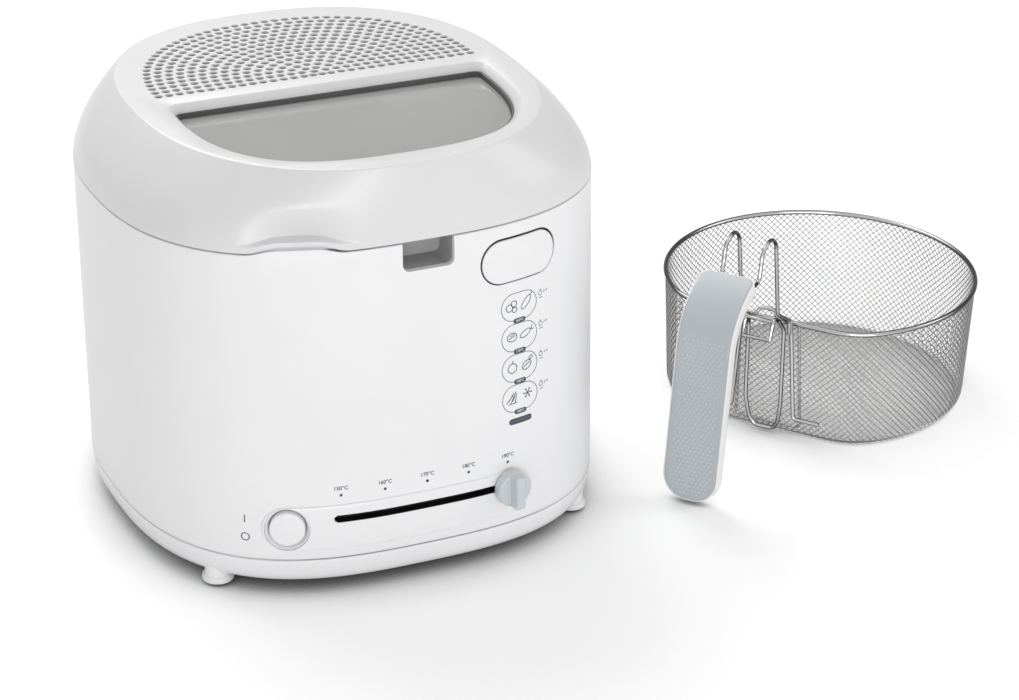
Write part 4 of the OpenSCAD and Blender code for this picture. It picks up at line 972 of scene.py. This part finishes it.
# painted light: the floor weave gets a lighter copy of the mesh steel
addWires(wovenFloor(), "wovenFloor", "basket_floor", "litFloorSteel", smooth=80)
rimPath = [(*basketPoint(basketSizes["rim"], basketSizes["flat"], i / 240), basketSizes["rimHeight"])
           for i in range(240)]
addWires(makeWire(rimPath, basketSizes["rimWire"], 16, closed=True), "rimWire", "basket_rim")
print("basket woven")

# wires are paths of (across, in front of the basket's middle, up), on their +X side
wireSizes = {
    "thin": 1.8, "thick": 2.5, "bar": 2.3, "softness": 2.8,
    "panel": [(19, 75.8), (21.5, 5)], "panelDepth": 2.95, "panelSoftness": 4,
    "bracket": [(11.7, 82.45, 24), (11.7, 82.85, 73.5), (9, 88.85, 82.7), (9, 93.85, 82.1), (9, 97.35, 71)],
    "footDepth": 2.75, "crossBar": [(-9, 93.15, 81.7), (0, 93.15, 81.7), (9, 93.15, 81.7)],
    "rods": [(37.9, 83.05, 15.1), (20.7, 83.05, 15.1), (16, 83.05, 80.2), (7.2, 83.05, 80.2), (4.6, 81.05, 84.2)],
    "rodSoftness": 2.3,
    # each hairpin goes up, over a half circle, and down into the grip
    "hairUp": [(16.4, 85.45, 72.2), (16, 85.45, 81.4), (11.9, 94.5, 87.6), (11.9, 101.55, 130.7)],
    "hairMiddle": (11.9, 112.7, 131.7), "hairRadius": 11,
    "hairDown": [(11.9, 123.9, 130.7), (11.9, 126.1, 121.5), (11.9, 151.5, 121.5)], "hairSoftness": (3.2, 4),
}


def panelFlat(z):
    s = basketSizes
    return s["flat"] - (s["rim"] - s["floor"]) * (1 - z / s["height"])


def wirePath(path, softness):
    return softPath([(x, -front, z) for x, front, z in path], softness)


def bothSides(half):
    return [(-x, front, z) for x, front, z in half] + half[::-1]


def makePanelFrame():
    w = wireSizes
    half = [(x, panelFlat(z) - w["panelDepth"], z) for x, z in w["panel"]]
    return makeWire(wirePath(bothSides(half), w["panelSoftness"]), w["thin"])


def makeBracket():
    w = wireSizes
    half = wirePath(w["bracket"], w["softness"])
    low = panelFlat(3) + w["footDepth"]
    foot = wirePath(bothSides([w["bracket"][0], (9.7, low + 1, 9), (6, low, 3.4)]), w["softness"])
    loop = foot[1:-1] + half + [Vector((-p.x, p.y, p.z)) for p in reversed(half)]
    crossBar = [(x, -front, z) for x, front, z in w["crossBar"]]
    return joined([makeWire(loop, w["thick"], closed=True), makeWire(crossBar, w["bar"])])


def makeRods():
    return makeWire(wirePath(bothSides(wireSizes["rods"]), wireSizes["rodSoftness"]), wireSizes["thick"])


def makeHairpins():
    w = wireSizes
    (x, front, z), r = w["hairMiddle"], w["hairRadius"]
    over = [Vector((x, -front + r * c, z + r * s)) for c, s in map(around, range(0, 181, 9))]
    up, down = [wirePath(w[part], softness) for part, softness in zip(("hairUp", "hairDown"), w["hairSoftness"])]
    return joined([makeWire([Vector((side * p.x, p.y, p.z)) for p in up + over + down], w["thick"])
                   for side in (-1, 1)])


addWires(makePanelFrame(), "panelFrame", "panel_frame")
addWires(makeBracket(), "handleBracket", "handle_bracket")
addWires(makeRods(), "liftRods", "lift_rods", body="basket_handle")
addWires(makeHairpins(), "hairpinWires", "hairpin_wires", body="basket_handle")
print("wires bent")

# the outer face of the grip runs down a curve, then almost straight to the tip
gripSizes = {
    "top": (141.5, 130.5), "bend": (176.3, 93), "tip": (189.8, 3), "leave": (16.5, -6), "arrive": (-2.6, 22),
    "width": 35, "topCorner": 6, "tipCorner": 15,
    # rings of the shell and of the insert, as (inset, depth), and the insets that close each face
    "shell": [(2.6, 9), (1.5, 8.85), (0.7, 8.4), (0.2, 7.6), (0, 6.6), (0, 0.9), (0.06, 0.42), (0.2, 0.12),
              (0.42, 0), (0.84, 0.02), (0.94, 0.16), (0.96, 2.6), (1.8, 2.6)],
    "insert": [(1.9, 2.5), (1.08, 2.3), (1.04, 0.1), (1.1, -0.08), (1.28, -0.22), (1.7, -0.28), (2.4, -0.3)],
    "inner": (17.5, 15.5, 13, 10.5, 8, 5.5, 3.5),
    "socket": ((-15.5, -155.3, 117), (15.5, -140.5, 124.2), 1.0),
    "dot": 0.8, "dotTop": 0.36, "dotHeight": 0.45, "dotLift": 0.28, "dotPitch": 2.75, "rowPitch": 0.87,
    "dotsBelow": 103, "dotsHalf": 13.6, "dotRoom": 15.0, "tipMiddle": 17.5, "creaseBulge": 3.2,
}


def gripFace():
    g = gripSizes
    a, d, tip = Vector(g["top"]), Vector(g["bend"]), Vector(g["tip"])
    b, c = a + Vector(g["leave"]), d + Vector(g["arrive"])
    points = []
    for i in range(49):
        t = i / 48
        points.append((1 - t) ** 3 * a + 3 * t * (1 - t) ** 2 * b + 3 * t * t * (1 - t) * c + t ** 3 * d)
    return points + [d.lerp(tip, i / 60) for i in range(1, 61)]


facePoints = gripFace()
faceRuns = runsOf(facePoints)
faceLength = faceRuns[-1]


def facePlace(x, run, depth):
    # depth goes into the grip from its outer face
    i = 0
    while i < len(faceRuns) - 2 and faceRuns[i + 1] < run:
        i += 1
    k = (run - faceRuns[i]) / (faceRuns[i + 1] - faceRuns[i])
    t = (facePoints[i + 1] - facePoints[i]).normalized()
    if 0 < i < len(facePoints) - 2:
        before = (facePoints[i] - facePoints[i - 1]).normalized()
        t = mix(before, (facePoints[i + 2] - facePoints[i + 1]).normalized(), k).normalized()
    point = facePoints[i].lerp(facePoints[i + 1], k) + depth * Vector((t.y, -t.x))
    return Vector((x, -point.x, point.y))


def gripPoint(angle, inset):
    # walks round the front view of the grip at an even pace, from the middle of its top end
    g = gripSizes
    half, top, tip = g["width"] / 2, g["topCorner"], g["tipCorner"]
    parts = [half - top, top * math.pi / 2, faceLength - top - tip, tip * math.pi / 2, half - tip]
    run = ((90 - angle) % 360) / 360 * 2 * sum(parts)
    side = 1
    if run > sum(parts):
        run, side = 2 * sum(parts) - run, -1
    i = 0
    while i < 4 and run > parts[i]:
        run -= parts[i]
        i += 1
    k = run / parts[i]
    c, s = math.cos(k * math.pi / 2), math.sin(k * math.pi / 2)
    rTop, rTip = max(top - inset, 0.2), max(tip - inset, 0.2)
    w, low, high = half - inset, faceLength - inset, inset
    x, along = (
        (k * max(w - rTop, 0), high),
        (max(w - rTop + rTop * s, 0), high + rTop - rTop * c),
        (w, mix(high + rTop, low - rTip, k)),
        (max(w - rTip + rTip * c, 0), low - rTip + rTip * s),
        ((1 - k) * max(w - rTip, 0), low),
    )[i]
    return side * x, along


def gripSlab(levels):
    # both faces close on the middle line of the grip
    inner, near, far = gripSizes["inner"], levels[0][1], levels[-1][1]
    levels = [(inset, near) for inset in inner] + levels + [(inset, far) for inset in inner[::-1]]

    def slabPoint(angle, inset, depth):
        return facePlace(*gripPoint(angle, inset), depth)
    return closedUp(makeRings(slabPoint, levels, 288, "none"), 0.004)


def makeDots():
    # rows of low studs between the crease and the rounded tip
    g = gripSizes
    dots = bmesh.new()
    crease = next(r for r, p in zip(faceRuns, facePoints) if p.y < g["dotsBelow"])
    room = g["dotRoom"]
    for row in range(80):
        run = crease + row * g["dotPitch"] * g["rowPitch"]
        for column in range(-8, 9):
            x = (column + 0.5 * (row % 2)) * g["dotPitch"]
            bulge = g["creaseBulge"] * (x / 16) ** 2
            low = faceLength - g["tipMiddle"] + math.sqrt(max(room * room - x * x, 0)) if abs(x) < room else 0
            if abs(x) > g["dotsHalf"] or run < crease + bulge or run > low:
                continue
            place = shifted(x, run, g["dotLift"] + g["dotHeight"] / 2)
            bmesh.ops.create_cone(dots, cap_ends=True, segments=10, radius1=g["dot"], radius2=g["dotTop"],
                                  depth=g["dotHeight"], matrix=place)
    for vert in dots.verts:
        vert.co = facePlace(vert.co.x, vert.co.y, -vert.co.z)
    bmesh.ops.recalc_face_normals(dots, faces=dots.faces)
    return dots


gripShell = joined([gripSlab(gripSizes["shell"]), makeBlock(*gripSizes["socket"])])
addPiece(gripShell, "gripShell", "basket_handle", "white_plastic", "grip_shell", place=basketPlace)
addPiece(gripSlab(gripSizes["insert"]), "gripInsert", "basket_handle", "grey_plastic", "grip_insert",
         place=basketPlace, smooth=50)
# painted highlight: the studs get a lighter copy of the grey plastic
addPiece(makeDots(), "gripDots", "basket_handle", "grey_plastic", finish="dotHighlightPlastic", place=basketPlace,
         smooth=70)
print("grip made")

# printed marks on the front; places are across and up
markSizes = {
    "lift": 0.08, "stroke": 0.48, "text": 3.15, "bold": 0.018,
    "scale": [(-50, "150°C"), (-25, "160°C"), (0, "170°C"), (25, "180°C"), (50, "190°C")],
    "scaleDot": 1.7, "scaleDotHeight": 61.5, "scaleTextHeight": 65.6,
    "on": (-99.5, 48, 4.6, 90, 0.5), "off": (-99.5, 37, 3.6, 4.4, 0, 0.5),
    "fieldMiddle": 59, "fieldTop": 153.4, "fieldPitch": 18.2, "field": (24, 16.4, 0.36), "signLift": 0.6,
    "fields": ("160°C", "170°C", "180°C", "190°C"), "fieldText": 2.0, "tagDrop": 8.4, "tag": (8.2, 2.9, 0),
    "limitBar": (84.9, 15.4, 3.6, 0),
}
markPlace = shifted(0, -150)


def laidOn(bm, lift):
    # a flat drawing, x across and y up, is laid on the front
    for vert in bm.verts:
        vert.co = draped(markPlace, vert.co.x, vert.co.y, lift)
    bmesh.ops.recalc_face_normals(bm, faces=bm.faces)
    return bm


def inkOval(x, z, wide, high, turn=0.0, stroke=markSizes["stroke"]):
    # a ring, or a full oval where the stroke is 0
    c, s = around(turn)

    def ovalPoint(angle, grow):
        across, up = around(angle)
        u, v = (wide / 2 + grow) * across, (high / 2 + grow) * up
        return x + u * c - v * s, z + u * s + v * c, 0
    if stroke:
        return makeRings(ovalPoint, [(stroke / 2,), (-stroke / 2,)], 40, "none")
    return makeRings(ovalPoint, [(0,), (-min(wide, high) * 0.45,)], 24)


def inkCapsule(x, z, wide, high, stroke):
    def inkPoint(angle, inset):
        u, v = capsulePoint(wide, high, angle, inset)
        return x + u, z + v, 0
    if stroke:
        return makeRings(inkPoint, [(0,), (stroke,)], 96, "none")
    return makeRings(inkPoint, [(0,), (high * 0.3,), (high * 0.49,)], 64, "none")


def inkBar(x, z, length, turn=0.0, stroke=markSizes["stroke"]):
    bm = bmesh.new()
    bmesh.ops.create_grid(bm, x_segments=3, y_segments=1, size=0.5)
    return moved(bm, shifted(x, z) @ turned(turn, "Z") @ Matrix.Diagonal((length, stroke, 1, 1)))


def inkText(words, x, z, size):
    curve = bpy.data.curves.new("words", "FONT")
    look = {"body": words, "size": size, "align_x": "CENTER", "align_y": "CENTER", "resolution_u": 4,
            "offset": size * markSizes["bold"]}
    for label, value in look.items():
        setattr(curve, label, value)
    obj = bpy.data.objects.new("words", curve)
    scene.collection.objects.link(obj)
    bm = meshOf(obj)
    bpy.data.objects.remove(obj)
    bpy.data.curves.remove(curve)
    return moved(bm, shifted(x, z))


# plain signs, two in each field: how each line is drawn, its place from the field's middle, and its sizes
foodSigns = [
    # soft food
    [(inkOval, -6.6, -0.6, 4.2, 4.2), (inkOval, -3.6, 1.4, 3.6, 3.6), (inkOval, -3.2, -2.2, 3, 3),
     (inkOval, 4.6, 0.4, 9, 3.6, 50), (inkBar, 8, 4.6, 2, 50)],
    # leafy food
    [(inkOval, -5, 0, 6.4, 5), (inkBar, -5, 0, 4.4, 20), (inkBar, -5, 1.2, 3, 20),
     (inkOval, 4, 0.3, 7.6, 3.4, 25), (inkBar, 8.2, 3, 2.6, 70), (inkBar, 8.6, 1.7, 2.4, -10)],
    # round food
    [(inkOval, -5, -0.4, 5.8, 5.6), (inkBar, -4.8, 3.3, 1.9, 75), (inkOval, 4.6, -0.6, 6.6, 4.6, 30),
     (inkBar, 4.6, -0.4, 5, 30), (inkOval, 7.4, 3.2, 2.6, 1.7, 30)],
    # cut food, and frozen food as a star of three bars with dots round it
    [(inkBar, -5 + i, -0.6 + (i % 2) * 1.2, 6, 62 + 9 * i) for i in (-2, -1, 0, 1, 2)]
    + [(inkBar, -5, -3.4, 6, 4)] + [(inkBar, 5, 0.6, 6, turn, 0.5) for turn in (0, 60, 120)]
    + [(inkOval, 5 + 2.5 * c, 0.6 + 2.5 * s, 1, 1, 0, 0) for c, s in map(around, range(0, 360, 60))],
]
# a drop with two short bars beside it and a line under it, to the right of each field
sideSigns = [(inkOval, 14.6, 3.4, 2.4, 2.6, 0, 0.34), (inkBar, 14.6, 5.3, 1.0, 0, 0.4),
             (inkBar, 17.4, 3.8, 1.5, 70, 0.42), (inkBar, 19.2, 4.0, 1.5, 70, 0.42),
             (inkBar, 15, 0.6, 2.6, 0, 0.4)]


def drawn(signs, x, z):
    return [draw(x + dx, z + dz, *sizes) for draw, dx, dz, *sizes in signs]


def makeMarks():
    m = markSizes
    dark, pale = [inkBar(*m["on"]), inkOval(*m["off"])], []
    for x, words in m["scale"]:
        dark.append(inkOval(x, m["scaleDotHeight"], m["scaleDot"], m["scaleDot"], 0, 0))
        dark.append(inkText(words, x, m["scaleTextHeight"], m["text"]))
    x = m["fieldMiddle"]
    for row, words in enumerate(m["fields"]):
        z = m["fieldTop"] - row * m["fieldPitch"]
        dark += [inkCapsule(x, z, *m["field"]), inkCapsule(x, z - m["tagDrop"], *m["tag"])]
        dark += drawn(foodSigns[row], x, z + m["signLift"]) + drawn(sideSigns, x, z)
        pale.append(inkText(words, x, z - m["tagDrop"], m["fieldText"]))
    dark.append(inkCapsule(x, *m["limitBar"]))
    return laidOn(joined(dark), m["lift"]), laidOn(joined(pale), 2 * m["lift"])


for marks, name, finish in zip(makeMarks(), ("darkMarks", "paleMarks"), ("printInk", "paleInk")):
    addPiece(marks, name, "fryer", "grey_plastic", finish=finish)
print("marks made")

# lengths and places are in metres here
stageSizes = {
    "floor": 30.0, "floorTone": 0.80, "floorGlow": 0.27, "worldLight": 0.6,
    # painted shadow: how far, and up to which share of open sky, ambient occlusion darkens the floor close under
    # things
    "shadowPaintReach": 0.07, "shadowPaintShare": 0.68,
    "lamps": [
        # place, aimed at, width, height, watts
        ((-0.60, -2.25, 0.45), (-0.08, 0.0, 0.12), 1.6, 0.7, 18),
        ((-0.25, 1.60, 1.95), (0.0, 0.0, 0.1), 1.8, 1.4, 37),
        ((2.10, -0.9, 0.9), (0.1, 0.0, 0.1), 1.2, 1.2, 9),
    ],
    "cameraAt": (-0.6891, -1.46904, 0.8185), "yaw": 24.36, "pitch": 25.32, "roll": 0.51, "lens": 103.24,
}


def brightRays(tree):
    # 1 for the rays that should see the white surroundings
    path = addNode(tree, "LightPath").outputs
    return addNode(tree, "Math", {0: path["Is Camera Ray"], 1: path["Is Transmission Ray"]},
                   operation="MAXIMUM").outputs["Value"]


def product(tree, a, b):
    return addNode(tree, "Math", {0: a, 1: b}, operation="MULTIPLY").outputs["Value"]


def makeFloor():
    s = stageSizes
    bm = bmesh.new()
    bmesh.ops.create_grid(bm, x_segments=8, y_segments=8, size=s["floor"] / 2)
    floor = looseObject(bm, "floor")
    material = bpy.data.materials.new("paleFloor")
    material.use_nodes = True
    tree = material.node_tree
    tree.nodes.clear()
    # painted shadow: ambient occlusion darkens the floor's colour and its glow close under things
    nearness = addNode(tree, "AmbientOcclusion", {"Distance": s["shadowPaintReach"]}, samples=8)
    unshadedShare = addNode(tree, "MapRange", {"Value": nearness.outputs["AO"],
                                          "From Max": s["shadowPaintShare"]}).outputs["Result"]
    diffuse = addNode(tree, "BsdfDiffuse", {"Color": product(tree, unshadedShare, s["floorTone"])})
    strength = product(tree, product(tree, brightRays(tree), s["floorGlow"]), unshadedShare)
    glow = addNode(tree, "Emission", {"Strength": strength})
    both = addNode(tree, "AddShader", {0: diffuse.outputs["BSDF"], 1: glow.outputs["Emission"]})
    addNode(tree, "OutputMaterial", {"Surface": both.outputs["Shader"]})
    floor.data.materials.append(material)


def makeWorld():
    world = bpy.data.worlds.new("surroundings")
    scene.world = world
    world.use_nodes = True
    tree = world.node_tree
    span = addNode(tree, "MapRange", {"Value": brightRays(tree), "To Min": stageSizes["worldLight"]})
    setInputs(tree, tree.nodes["Background"], {"Color": (1, 1, 1, 1), "Strength": span.outputs["Result"]})


def makeLamps():
    for i, (place, target, wide, high, watts) in enumerate(stageSizes["lamps"]):
        lamp = bpy.data.lights.new("softLamp%d" % i, "AREA")
        lamp.shape = "RECTANGLE"
        lamp.size = wide
        lamp.size_y = high
        lamp.energy = watts
        obj = bpy.data.objects.new(lamp.name, lamp)
        obj.location = place
        obj.rotation_euler = (Vector(target) - Vector(place)).to_track_quat("-Z", "Y").to_euler()
        scene.collection.objects.link(obj)


def makeCamera():
    s = stageSizes
    (cy, sy), (cp, sp), (cr, sr) = [around(s[turn]) for turn in ("yaw", "pitch", "roll")]
    ahead, right = Vector((sy * cp, cy * cp, -sp)), Vector((cy, -sy, 0))
    up = right.cross(ahead)
    camera = bpy.data.cameras.new("camera")
    camera.lens = s["lens"]
    camera.sensor_width = 36
    camera.clip_end = 100
    obj = bpy.data.objects.new("camera", camera)
    axes = Matrix((cr * right + sr * up, -sr * right + cr * up, -ahead)).transposed()
    obj.matrix_world = shifted(*s["cameraAt"]) @ axes.to_4x4()
    scene.collection.objects.link(obj)
    scene.camera = obj


makeFloor()
makeWorld()
makeLamps()
makeCamera()
scene.view_settings.view_transform = "Standard"
print("stage set")
